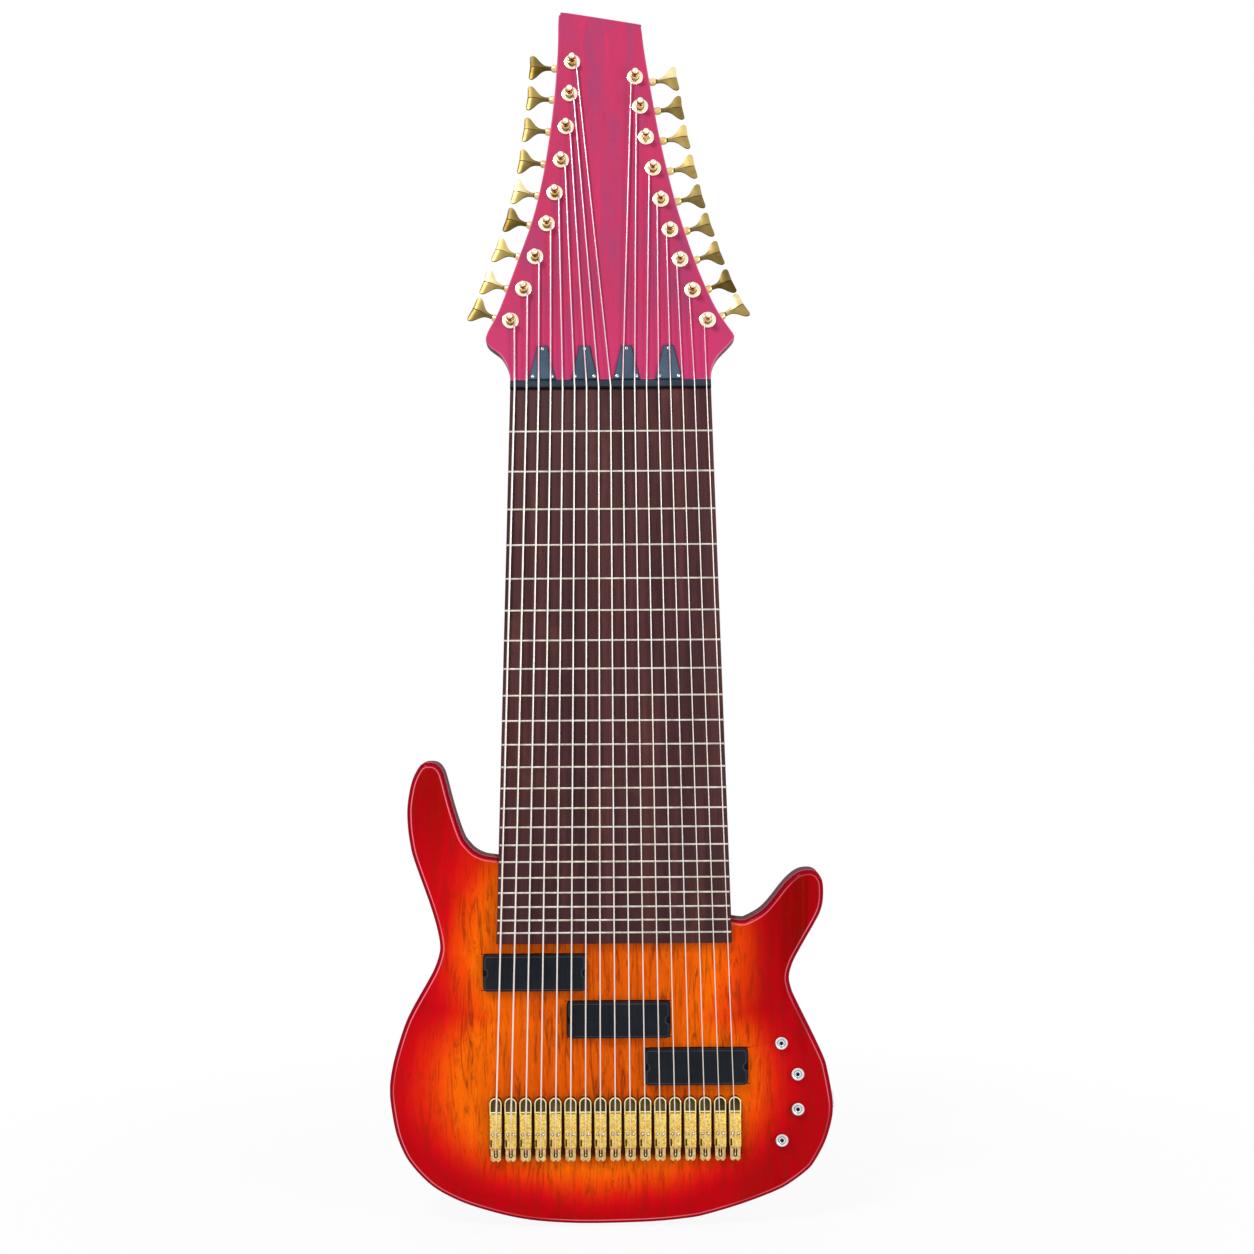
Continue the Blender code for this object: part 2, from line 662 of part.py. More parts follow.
def make_truss_rods(material):
    """Each rod with the adjusting nut that its cover hides."""
    bar = box("truss_rod", (-ROD_WIDTH / 2, -ROD_HEIGHT / 2, -ROD_LENGTH),
              (ROD_WIDTH / 2, ROD_HEIGHT / 2, 0.0))
    nut = turned("rod_nut", ((0.0, -ROD_NUT_LENGTH / 4), (ROD_NUT_RADIUS / 2, -ROD_NUT_LENGTH / 4),
                             (ROD_NUT_RADIUS / 2, ROD_NUT_LENGTH / 4), (ROD_NUT_RADIUS, ROD_NUT_LENGTH / 4),
                             (ROD_NUT_RADIUS, ROD_NUT_LENGTH), (0.0, ROD_NUT_LENGTH)), KEY_SIDES)
    mesh = settled(bar, nut, "UNION")
    for index, x in enumerate(rod_places()):
        put(f"truss_rod_{index + 1}", mesh, material, place=Matrix.Translation((x, rod_axis(), ROD_END)))


def make_truss_covers(material, head):
    """Bell-shaped plates over the adjusting nuts, against the nut of the fingerboard."""
    side = [(x * MM, COVER_FOOT + up * MM) for x, up in COVER_SIDE]
    outline = side + [(-x, up) for x, up in side[::-1]]
    mesh = slab("truss_rod_cover", outline, SEAT_GAP, SEAT_GAP + COVER_THICKNESS, front_round=COVER_BEVEL)
    for index, x in enumerate(rod_places()):
        put(f"truss_rod_cover_{index + 1}", mesh, material, head, Matrix.Translation((x, 0.0, 0.0)))


# Tuning machines

def post_mesh():
    """String post: journal, waist for the windings, and a slotted head that tapers to its tip."""
    head = POST_HEIGHT - POST_HEAD
    post = turned("tuner_post", (
        (0.0, -POST_FOOT), (POST_RADIUS, -POST_FOOT), (POST_RADIUS, WAIST_START - POST_TAPER),
        (POST_WAIST_RADIUS, WAIST_START), (POST_WAIST_RADIUS, head - POST_TAPER), (POST_RADIUS, head),
        (POST_TIP_RADIUS, POST_HEIGHT), (0.0, POST_HEIGHT)), POST_SIDES)
    slot = box("post_slot", (-POST_SLOT_WIDTH / 2, -POST_RADIUS - PASS, POST_HEIGHT - POST_SLOT_DEPTH),
               (POST_SLOT_WIDTH / 2, POST_RADIUS + PASS, POST_HEIGHT + PASS))
    return settled(post, slot, "DIFFERENCE")


def key_ring(along, half_width_here, half_thickness, half_rim):
    """A section of the key: a crease above and below, and a flat rim at each side."""
    right = [(half_width_here, -half_rim, along), (half_width_here, half_rim, along)]
    left = [(-x, -rim, along) for x, rim, _ in right]
    return right + [(0.0, half_thickness, along)] + left + [(0.0, -half_thickness, along)]


def round_ring(along, radius):
    return key_ring(along, radius * math.cos(math.pi / KEY_SIDES), radius, radius / 2)


def key_mesh():
    """Worm shaft, collar and clover-shaped button in one piece."""
    collar = HOUSING_REACH + RUNNING_GAP
    button = collar + KEY_COLLAR_LENGTH
    rings = [round_ring(*section) for section in (
        (HOUSING_REACH - WORM_LENGTH, WORM_RADIUS), (collar, WORM_RADIUS), (collar, KEY_COLLAR_RADIUS),
        (button - KEY_COLLAR_ROUND, KEY_COLLAR_RADIUS), (button, KEY_NECK_RADIUS))]
    for share, width, depth in KEY_BUTTON_SHAPE:
        thick = depth * KEY_BUTTON_THICKNESS / 2
        rings.append(key_ring(button + share * KEY_BUTTON_LENGTH, width * KEY_BUTTON_WIDTH / 2, thick,
                              thick * KEY_RIM_SHARE))
    return lofted("tuner_key", rings)


def make_tuners(material, head):
    """Eighteen posts, each turned by its own key through a worm inside the housing."""
    post = post_mesh()
    key = key_mesh()
    for row, machines in tuner_rows().items():
        for number, (centre, out, up) in enumerate(machines, start=1):
            put(f"tuner_post_{row}_{number}", post, material, head, Matrix.Translation((*centre, 0.0)))
            put(f"tuner_key_{row}_{number}", key, material, head, key_place(centre, out, up))


# Fingerboard

def make_fingerboard(material, front):
    outline = [(-NUT_HALF, 0.0), (-BOARD_END_HALF, BOARD_END), (BOARD_END_HALF, BOARD_END), (NUT_HALF, 0.0)]
    board = put("fingerboard", slab("fingerboard", outline, -BOARD_THICKNESS, 0.0), material, front)
    frets = bmesh.new()
    for number in range(1, FRET_COUNT + 1):
        z = fret_z(number)
        half = half_width(z) - SEAT_GAP
        section = ((-FRET_WIDTH / 2, -FRET_TANG), (FRET_WIDTH / 2, -FRET_TANG),
                   (FRET_CROWN_WIDTH / 2, FRET_HEIGHT), (-FRET_CROWN_WIDTH / 2, FRET_HEIGHT))
        ends = [[frets.verts.new((x, z + along, rise)) for along, rise in section] for x in (-half, half)]
        bmesh.ops.contextual_create(frets, geom=ends[0])
        bmesh.ops.contextual_create(frets, geom=ends[1])
        for index in range(len(section)):
            after = (index + 1) % len(section)
            frets.faces.new((ends[0][index], ends[0][after], ends[1][after], ends[1][index]))
    shape(board, finish_mesh(frets, "frets"), "UNION", front)
    return board


# Strings, nut and bridges

def bridge_mesh():
    """A single-string bridge: a round-nosed tray with a window, and the saddle block standing in it."""
    half = BRIDGE_WIDTH / 2
    nose = BRIDGE_FRONT - half
    waist = half - BRIDGE_WAIST
    right = [(waist - BRIDGE_CHAMFER, -BRIDGE_TAIL), (waist, -BRIDGE_TAIL + BRIDGE_CHAMFER),
             (waist, -BRIDGE_WAIST_BLEND), (half, 0.0)]
    outline = right + arc((0.0, nose), half, 0.0, math.pi, BRIDGE_ARCH_STEPS)
    outline += [(-x, along) for x, along in right[::-1]]
    tray = slab("bridge", outline, 0.0, BRIDGE_TRAY_HEIGHT)
    inner = half - BRIDGE_WALL
    window = [(inner, BRIDGE_BLOCK_FRONT)] + arc((0.0, nose), inner, 0.0, math.pi, BRIDGE_ARCH_STEPS)
    window += [(-inner, BRIDGE_BLOCK_FRONT)]
    tray = settled(tray, slab("bridge_window", window, BRIDGE_FLOOR, BRIDGE_TRAY_HEIGHT + PASS), "DIFFERENCE")
    crest_end = -BRIDGE_CREST_LENGTH
    slope_end = crest_end - BRIDGE_SLOPE
    block_front = BRIDGE_CREST_HEIGHT - BRIDGE_BLOCK_DROP
    profile = ((BRIDGE_BLOCK_FRONT, BRIDGE_FLOOR), (BRIDGE_BLOCK_FRONT, block_front),
               (0.0, BRIDGE_CREST_HEIGHT), (crest_end, BRIDGE_CREST_HEIGHT),
               (slope_end, BRIDGE_TRAY_HEIGHT), (slope_end, BRIDGE_FLOOR))
    cheek = half - BRIDGE_CHEEK_GAP
    block = lofted("bridge_block", [[(x, along, rise) for along, rise in profile] for x in (-cheek, cheek)])
    return settled(tray, block, "UNION")


def string_route(index, rows):
    """The line of one string: from its anchor over the saddle and the nut to the post."""
    radius = string_radius(index)
    saddle = -SCALE_LENGTH
    saddle_x = string_x(index, saddle)
    crest = BODY_STEP - SEAT_GAP - BRIDGE_CREST_HEIGHT - radius + STRING_BITE
    lift = -(FRET_HEIGHT + NUT_ACTION + radius)
    anchor = BODY_STEP - SEAT_GAP - STRING_ANCHOR_HEIGHT
    row, place = string_post(index)
    centre, out, _ = rows[row][place]
    side = 1.0 if row == "bass" else -1.0
    reach = POST_WAIST_RADIUS + RUNNING_GAP + radius
    on_coil = Vector((centre.x + side * reach, centre.y, WAIST_START + COIL_START + radius))
    return [
        Vector((saddle_x, anchor, saddle - STRING_ANCHOR_DEPTH)),
        Vector((saddle_x, crest, saddle)),
        Vector((string_x(index, 0.0), lift, NUT_CREST_LENGTH / 2)),
        HEAD_PLANE @ on_coil,
    ]


def coil_mesh(radius):
    """The windings of a string round its post, as one ring."""
    inner = around(POST_WAIST_RADIUS + RUNNING_GAP, COIL_SIDES)
    outer = inner + 2 * radius
    low = WAIST_START + COIL_START
    high = low + COIL_HEIGHT
    section = ((inner, low), (outer, low), (outer, high), (inner, high))
    return turned("windings", section, COIL_SIDES, closed=True)


def tube(name, route, radius):
    """A wire of even thickness along a line of points."""
    curve = bpy.data.curves.new(name, "CURVE")
    curve.dimensions = "3D"
    curve.bevel_depth = radius
    curve.bevel_resolution = (STRING_SIDES - 4) // 2
    curve.use_fill_caps = True
    spline = curve.splines.new("POLY")
    spline.points.add(len(route) - 1)
    for point, place in zip(spline.points, route):
        point.co = (*place, 1.0)
    wire = bpy.data.objects.new(name, curve)
    bpy.context.scene.collection.objects.link(wire)
    graph = bpy.context.evaluated_depsgraph_get()
    mesh = bpy.data.meshes.new_from_object(wire.evaluated_get(graph))
    bpy.data.objects.remove(wire)
    return mesh


def merged(name, meshes):
    """Meshes that don't touch, in one."""
    bm = bmesh.new()
    for mesh in meshes:
        bm.from_mesh(mesh)
    return finish_mesh(bm, name)


def make_strings(material, head, front):
    """Nut, strings, windings and bridges, which stand in contact from end to end."""
    rows = tuner_rows()
    top = -NUT_CREST
    profile = (
        (SEAT_GAP, BOARD_THICKNESS), (SEAT_GAP, top + NUT_SLOT_DEPTH), (SEAT_GAP + NUT_SLOT_DEPTH, top),
        (NUT_CREST_LENGTH, top), (SEAT_GAP + NUT_LENGTH, top + NUT_BACK_DROP),
        (SEAT_GAP + NUT_LENGTH, BOARD_THICKNESS))
    rings = [[(x, depth, z) for z, depth in profile] for x in (-NUT_HALF, NUT_HALF)]
    strings = put("string_set", lofted("string_set", rings), material)
    wires = [tube("wire", string_route(index, rows), string_radius(index)) for index in range(STRING_COUNT)]
    shape(strings, merged("wires", wires), "UNION")
    coils = []
    for index in range(STRING_COUNT):
        row, place = string_post(index)
        coil = coil_mesh(string_radius(index))
        coil.transform(Matrix.Translation((*rows[row][place][0], 0.0)))
        coils.append(coil)
    shape(strings, merged("windings", coils), "UNION", head)
    places = [Matrix.Translation((string_x(index, -SCALE_LENGTH), -SCALE_LENGTH, SEAT_GAP - BODY_STEP))
              for index in range(STRING_COUNT)]
    shape(strings, repeated("bridges", bridge_mesh(), places), "UNION", front)
    return strings


# Body

def body_outline():
    """The body seen from the front, as one closed curve."""
    bass = [(-BOARD_END_HALF - out * MM, BOARD_END + up * MM) for out, up in BASS_HORN]
    treble = [(BOARD_END_HALF + out * MM, BOARD_END + up * MM) for out, up in TREBLE_HORN]
    heel = [(x * MM, BOARD_END + up * MM) for x, up in HEEL_EDGE]
    tail = [(x * MM, BOARD_END + up * MM) for x, up in TAIL_EDGE]
    line = curve_through(heel + treble + tail + bass[::-1], closed=True, steps=OUTLINE_STEPS)
    return thinned(line, OUTLINE_SLACK)


def side_edge(z):
    """How far the treble side of the body reaches at a height z."""
    outline = body_outline()
    crossings = []
    for start, end in zip(outline, outline[1:] + outline[:1]):
        if (start.y - z) * (end.y - z) <= 0 and start.y != end.y:
            crossings.append(start.x + (end.x - start.x) * (z - start.y) / (end.y - start.y))
    return max(crossings)


def tail_edge(x):
    """How far down the body reaches at a place x."""
    outline = body_outline()
    crossings = []
    for start, end in zip(outline, outline[1:] + outline[:1]):
        if (start.x - x) * (end.x - x) <= 0 and start.x != end.x:
            crossings.append(start.y + (end.y - start.y) * (x - start.x) / (end.x - start.x))
    return min(crossings)


def neck_pocket():
    low = BOARD_END - SEAT_GAP
    high = BOARD_END + 2 * HEEL_LENGTH
    outline = [(-half_width(low) - SEAT_GAP, low), (half_width(low) + SEAT_GAP, low),
               (half_width(high) + SEAT_GAP, high), (-half_width(high) - SEAT_GAP, high)]
    return slab("neck_pocket", outline, -HEEL_BACK - SEAT_GAP, PASS)


def pickup_heights():
    """Centres of the pickups, evenly spread between the fingerboard and the bridges."""
    free = SCALE_LENGTH - BRIDGE_FRONT + BOARD_END
    spacing = (free - len(PICKUP_PLACES) * PICKUP_LENGTH) / (len(PICKUP_PLACES) + 1)
    return [BOARD_END - spacing * (index + 1) - PICKUP_LENGTH * (index + 0.5)
            for index in range(len(PICKUP_PLACES))]


def pickup_places():
    return [Matrix.Translation((x, z, -BODY_STEP)) for x, z in zip(PICKUP_PLACES, pickup_heights())]


def pickup_routs():
    outline = round_corners(PICKUP_WIDTH / 2 + ROUT_MARGIN, PICKUP_LENGTH / 2 + ROUT_MARGIN,
                            PICKUP_CORNER + ROUT_MARGIN)
    rout = slab("pickup_routs", outline, -PICKUP_DEPTH - SEAT_GAP, PASS)
    return repeated("pickup_routs", rout, pickup_places())


def knob_places():
    """Knob centres along their arc, from the neck side to the tail side."""
    places = []
    for index in range(KNOB_COUNT):
        angle = ((KNOB_COUNT - 1) / 2 - index) * KNOB_ARC_STEP
        places.append(Vector((KNOB_ARC_X + KNOB_ARC_RADIUS * math.cos(angle),
                              KNOB_ARC_Z + KNOB_ARC_RADIUS * math.sin(angle))))
    return places


def control_outline(margin):
    """The curved control cavity that follows the knobs, grown by a margin."""
    half = (KNOB_COUNT - 1) / 2 * KNOB_ARC_STEP + CAVITY_END
    inner = KNOB_ARC_RADIUS - CAVITY_INNER - margin
    outer = KNOB_ARC_RADIUS + CAVITY_OUTER + margin
    middle = (inner + outer) / 2
    centre = (KNOB_ARC_X, KNOB_ARC_Z)
    line = arc(centre, outer, -half, half, 8)
    for sign, base in ((1, half), (-1, -half)):
        cap = Vector(centre) + Vector((math.cos(base), math.sin(base))) * middle
        turn = base if sign > 0 else base + math.pi
        line += arc(cap, (outer - inner) / 2, turn, turn + math.pi, 6)[1:-1]
        if sign > 0:
            line += arc(centre, inner, half, -half, 8)
    return line


def make_body_top(material, front, pocket, routs):
    """The figured top, which carries the bridges, pickups and potentiometers."""
    top = put("body_top", slab("body_top", body_outline(), -TOP_BACK, -BODY_STEP, front_round=EDGE_RADIUS,
                               segments=EDGE_SEGMENTS), material, front)
    apply_helper(top, pocket, "DIFFERENCE")
    apply_helper(top, routs, "DIFFERENCE")
    places = [Matrix.Translation((*place, -TOP_BACK)) for place in knob_places()]
    pot = turned("potentiometers", ((0.0, -POT_DEPTH), (POT_RADIUS, -POT_DEPTH), (POT_RADIUS, PASS / 4),
                                    (0.0, PASS / 4)), BORE_SIDES)
    shape(top, repeated("potentiometers", pot, places), "UNION", front)
    bore = around(SHAFT_RADIUS + RUNNING_GAP, BORE_SIDES)
    floor = TOP_THICKNESS - SHAFT_LENGTH - RUNNING_GAP
    shaft = turned("shaft_bores", ((0.0, floor), (bore, floor), (bore, TOP_THICKNESS + PASS),
                                   (0.0, TOP_THICKNESS + PASS)), BORE_SIDES)
    shape(top, repeated("shaft_bores", shaft, places), "DIFFERENCE", front)
    return top


def make_body(material, front, pocket, routs):
    """The core of the body, with the neck pocket, the control cavity and the bores in its edge and back."""
    core = slab("body", body_outline(), -BODY_BACK, -CORE_FRONT, back_round=BACK_EDGE)
    body = put("body", core, material, front)
    apply_helper(body, pocket, "DIFFERENCE")
    apply_helper(body, routs, "DIFFERENCE")
    shape(body, slab("control_cavity", control_outline(0.0), -BODY_BACK - PASS, -CORE_FRONT + PASS),
          "DIFFERENCE", front)
    shape(body, slab("lid_recess", control_outline(LEDGE), -BODY_BACK - PASS,
                     -BODY_BACK + LID_THICKNESS + SEAT_GAP), "DIFFERENCE", front)
    shape(body, socket_bore("jack_bore", JACK_BARREL_RADIUS, JACK_BARREL_LENGTH, jack_place()), "DIFFERENCE")
    for name, place in strap_places().items():
        bore = socket_bore(f"{name}_bore", STRAP_BARREL_RADIUS, STRAP_BARREL_LENGTH, place)
        shape(body, bore, "DIFFERENCE")
    return body


# Sockets: the output jack and the two strap sockets

def body_middle():
    return (CORE_FRONT + BODY_BACK) / 2


def socket_bore(name, radius, length, place):
    wide = around(radius + SEAT_GAP, BORE_SIDES)
    mesh = turned(name, ((0.0, -length - SEAT_GAP), (wide, -length - SEAT_GAP), (wide, PASS * 3),
                         (0.0, PASS * 3)), BORE_SIDES)
    mesh.transform(place)
    return mesh


def socket_mesh(name, flange, flange_thickness, barrel, length, bore, depth):
    """A flanged sleeve with a blind bore, its flange lying on the outside of the body."""
    inner = around(bore, BORE_SIDES)
    return turned(name, (
        (0.0, -length), (barrel, -length), (barrel, SEAT_GAP), (flange, SEAT_GAP),
        (flange, SEAT_GAP + flange_thickness), (inner, SEAT_GAP + flange_thickness),
        (inner, SEAT_GAP + flange_thickness - depth), (0.0, SEAT_GAP + flange_thickness - depth)), BORE_SIDES)


def jack_place():
    z = BOARD_END - JACK_DROP
    return Matrix.Translation((side_edge(z), body_middle(), z)) @ Matrix.Rotation(math.pi / 2, 4, "Y")


def strap_places():
    tail = Matrix.Translation((STRAP_TAIL_PLACE, body_middle(), tail_edge(STRAP_TAIL_PLACE)))
    horn = Matrix.Translation((-BOARD_END_HALF - STRAP_HORN_OUT, BODY_BACK, BOARD_END + STRAP_HORN_UP))
    return {
        "strap_socket_tail": tail @ Matrix.Rotation(math.pi, 4, "X"),
        "strap_socket_horn": horn @ Matrix.Rotation(-math.pi / 2, 4, "X"),
    }


def make_sockets(material):
    jack = socket_mesh("jack_socket", JACK_FLANGE_RADIUS, JACK_FLANGE_THICKNESS, JACK_BARREL_RADIUS,
                       JACK_BARREL_LENGTH, JACK_BORE_RADIUS, JACK_BORE_LENGTH)
    put("jack_socket", jack, material, place=jack_place())
    strap = socket_mesh("strap_socket", STRAP_FLANGE_RADIUS, STRAP_FLANGE_THICKNESS, STRAP_BARREL_RADIUS,
                        STRAP_BARREL_LENGTH, STRAP_BORE_RADIUS, STRAP_BORE_LENGTH)
    for name, place in strap_places().items():
        put(name, strap, material, place=place)


# Pickups and controls

def make_pickups(material, front):
    """Soap-bar pickups: a notched, rounded block with a softened rim."""
    half_x = PICKUP_WIDTH / 2
    quarter = round_corners(half_x, PICKUP_LENGTH / 2, PICKUP_CORNER)
    right = arc((half_x, 0.0), PICKUP_SCREW_RADIUS, -math.pi / 2, -3 * math.pi / 2, 4)
    left = arc((-half_x, 0.0), PICKUP_SCREW_RADIUS, math.pi / 2, -math.pi / 2, 4)
    per_corner = len(quarter) // 4
    outline = (right + quarter[:2 * per_corner] + left + quarter[2 * per_corner:])
    mesh = slab("pickup", outline, -PICKUP_DEPTH, PICKUP_RISE, front_round=PICKUP_EDGE)
    for name, place in zip(("neck", "middle", "bridge"), pickup_places()):
        put(f"pickup_{name}", mesh, material, front, place)


def make_knobs(material, front):
    """Four small control knobs, each with the shaft that turns in its potentiometer."""
    top = KNOB_LIFT + KNOB_HEIGHT
    dish = KNOB_RADIUS - KNOB_RIM
    mesh = turned("control_knob", (
        (0.0, -SHAFT_LENGTH), (SHAFT_RADIUS, -SHAFT_LENGTH), (SHAFT_RADIUS, KNOB_LIFT),
        (KNOB_RADIUS, KNOB_LIFT), (KNOB_RADIUS, top), (dish, top), (dish - KNOB_DISH, top - KNOB_DISH),
        (0.0, top - KNOB_DISH)), KNOB_SIDES)
    for index, place in enumerate(knob_places(), start=1):
        put(f"control_knob_{index}", mesh, material, front, Matrix.Translation((*place, -BODY_STEP)))


def make_control_cover(material, front):
    outline = control_outline(LEDGE - SEAT_GAP)
    lid = slab("control_cover", outline, -BODY_BACK, -BODY_BACK + LID_THICKNESS)
    put("control_cover", lid, material, front)


def main():
    for leftover in list(bpy.data.objects):
        bpy.data.objects.remove(leftover)
    cherry = finish("cherry_sunburst", (0.75, 0.06, 0.02), 0.12)
    maroon = finish("dark_cherry", (0.16, 0.02, 0.03), 0.2)
    raspberry = finish("raspberry_headstock", (0.58, 0.05, 0.14), 0.35)
    rosewood = finish("rosewood", (0.08, 0.03, 0.025), 0.55)
    gold = finish("gold", (0.83, 0.6, 0.2), 0.22, 1.0)
    silver = finish("string_steel", (0.78, 0.76, 0.72), 0.3, 1.0)
    slate = finish("slate_blue", (0.1, 0.14, 0.19), 0.4)
    black = finish("black_plastic", (0.015, 0.015, 0.017), 0.35)
    chrome = finish("chrome", (0.8, 0.8, 0.8), 0.1, 1.0)
    steel = finish("rod_steel", (0.4, 0.4, 0.4), 0.4, 1.0)
    front = plane("front_plane", FRONT_PLANE)
    head = plane("headstock_plane", HEAD_PLANE)
    bpy.context.view_layer.update()
    make_neck(raspberry, head)
    make_truss_rods(steel)
    make_truss_covers(slate, head)
    make_tuners(gold, head)
    make_fingerboard(rosewood, front)
    make_strings(silver, head, front)
    pocket = put("neck_pocket", neck_pocket(), None, front)
    routs = put("pickup_routs", pickup_routs(), None, front)
    for helper in (pocket, routs):
        helper.hide_render = True
        helper.display_type = "WIRE"
    make_body_top(cherry, front, pocket, routs)
    make_body(maroon, front, pocket, routs)
    make_pickups(black, front)
    make_knobs(chrome, front)
    make_control_cover(black, front)
    make_sockets(chrome)


main()
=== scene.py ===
"""Seventeen-string electric bass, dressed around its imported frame.

The instrument stands upright: X to the treble side, Z up the neck, and the front faces -Y. The origin is the
middle of the nut line on the face of the fingerboard. Pieces are drawn on two planes, whose local axes are
right, up and towards the viewer: the front plane and the leaning face of the headstock.
"""

import json
import math

import bmesh
import bpy
from mathutils import Matrix, Vector
from mathutils.kdtree import KDTree

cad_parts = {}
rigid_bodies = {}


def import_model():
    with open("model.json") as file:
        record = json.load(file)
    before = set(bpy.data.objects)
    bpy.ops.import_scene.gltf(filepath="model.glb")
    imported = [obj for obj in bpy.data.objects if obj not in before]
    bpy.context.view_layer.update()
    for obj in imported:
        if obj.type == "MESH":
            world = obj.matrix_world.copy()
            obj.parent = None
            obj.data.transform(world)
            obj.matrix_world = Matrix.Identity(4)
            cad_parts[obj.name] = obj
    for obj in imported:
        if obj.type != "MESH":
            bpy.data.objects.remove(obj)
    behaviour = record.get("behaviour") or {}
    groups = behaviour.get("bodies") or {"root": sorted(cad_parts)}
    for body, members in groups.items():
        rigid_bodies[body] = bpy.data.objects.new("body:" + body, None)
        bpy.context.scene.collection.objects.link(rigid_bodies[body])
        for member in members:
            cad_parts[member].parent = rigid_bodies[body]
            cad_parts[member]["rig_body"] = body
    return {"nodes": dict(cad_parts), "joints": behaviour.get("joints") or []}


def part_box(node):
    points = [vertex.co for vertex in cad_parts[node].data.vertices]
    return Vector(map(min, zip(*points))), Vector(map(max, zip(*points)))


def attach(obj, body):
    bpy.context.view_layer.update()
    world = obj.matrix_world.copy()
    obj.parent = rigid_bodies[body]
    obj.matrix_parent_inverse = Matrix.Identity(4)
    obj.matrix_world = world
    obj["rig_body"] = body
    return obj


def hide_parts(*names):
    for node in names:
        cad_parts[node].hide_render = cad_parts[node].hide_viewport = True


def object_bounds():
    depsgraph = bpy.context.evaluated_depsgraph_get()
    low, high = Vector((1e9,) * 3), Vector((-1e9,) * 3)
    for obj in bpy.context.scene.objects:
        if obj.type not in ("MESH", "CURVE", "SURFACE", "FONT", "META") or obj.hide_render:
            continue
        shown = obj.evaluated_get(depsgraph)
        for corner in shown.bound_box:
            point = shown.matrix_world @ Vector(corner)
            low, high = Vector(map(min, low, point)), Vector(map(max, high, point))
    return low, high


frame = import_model()
cad_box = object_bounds()

MM = 0.001
SCALE_LENGTH = 863.6 * MM
STRING_COUNT = 17
NUT_PITCH = 13.7 * MM
SADDLE_PITCH = 17.1 * MM
BASS_RADIUS = 1.15 * MM
TREBLE_RADIUS = 0.6 * MM
FRET_COUNT = 22
FRET_HEIGHT = 1.1 * MM
STRING_CLEARANCE = 0.8 * MM
BODY_FACE = 9.0 * MM
BRIDGE_LIFT = 0.3 * MM
HEAD_TILT = math.radians(12.0)

FRONT = Matrix.Rotation(math.pi / 2, 4, "X")
HEAD = Matrix.Translation((0.0, 3.0 * MM, 10.8 * MM)) @ Matrix.Rotation(math.pi / 2 - HEAD_TILT, 4, "X")
HEAD_BACK = HEAD.inverted()
TOWARDS_VIEWER = HEAD.to_3x3() @ Vector((0.0, 0.0, 1.0))
UP_THE_HEAD = HEAD.to_3x3() @ Vector((0.0, 1.0, 0.0))
ACROSS_THE_BODY = Vector((0.0, 1.0, 0.0))
UNMOVED = Matrix.Identity(4)

# Camera: its distance from the face of the fingerboard, its place and its lean, and what it takes in
CAMERA_DISTANCE = 2300.0 * MM
CAMERA_X = 16.95 * MM
CAMERA_Z = -272.4 * MM
CAMERA_LEAN = 0.00655
VIEW_WIDTH = 1432.4 * MM
SENSOR = 36.0


# Materials. Colours are given as they look on a screen, 0 to 255

def shader_colour(colour):
    """A screen colour as the shader takes it."""
    shares = (level / 255 for level in colour)
    return *(((share + 0.055) / 1.055) ** 2.4 if share > 0.04 else share / 12.92 for share in shares), 1.0


class Socket:
    """One output in a material's nodes. Python's operators add the Math nodes."""

    def __init__(self, finish, socket):
        self.finish = finish
        self.socket = socket

    def maths(self, operation, *others):
        return self.finish.node("Math", {"operation": operation}, dict(enumerate((self, *others))))

    def __add__(self, other):
        return self.maths("ADD", other)

    __radd__ = __add__

    def __sub__(self, other):
        return self.maths("SUBTRACT", other)

    def __rsub__(self, other):
        return self.finish.node("Math", {"operation": "SUBTRACT"}, {0: other, 1: self})

    def __mul__(self, other):
        return self.maths("MULTIPLY", other)

    def __truediv__(self, other):
        return self.maths("DIVIDE", other)

    def __pow__(self, other):
        return self.maths("POWER", other)

    def most(self, other):
        return self.maths("MAXIMUM", other)

    def size(self):
        return self.maths("ABSOLUTE")

    def rise(self, low, high):
        """0 up to low, 1 from high, and smooth between."""
        return self.finish.node("MapRange", {"interpolation_type": "SMOOTHSTEP"},
                                {0: self, 1: low, 2: high, 3: 0.0, 4: 1.0})


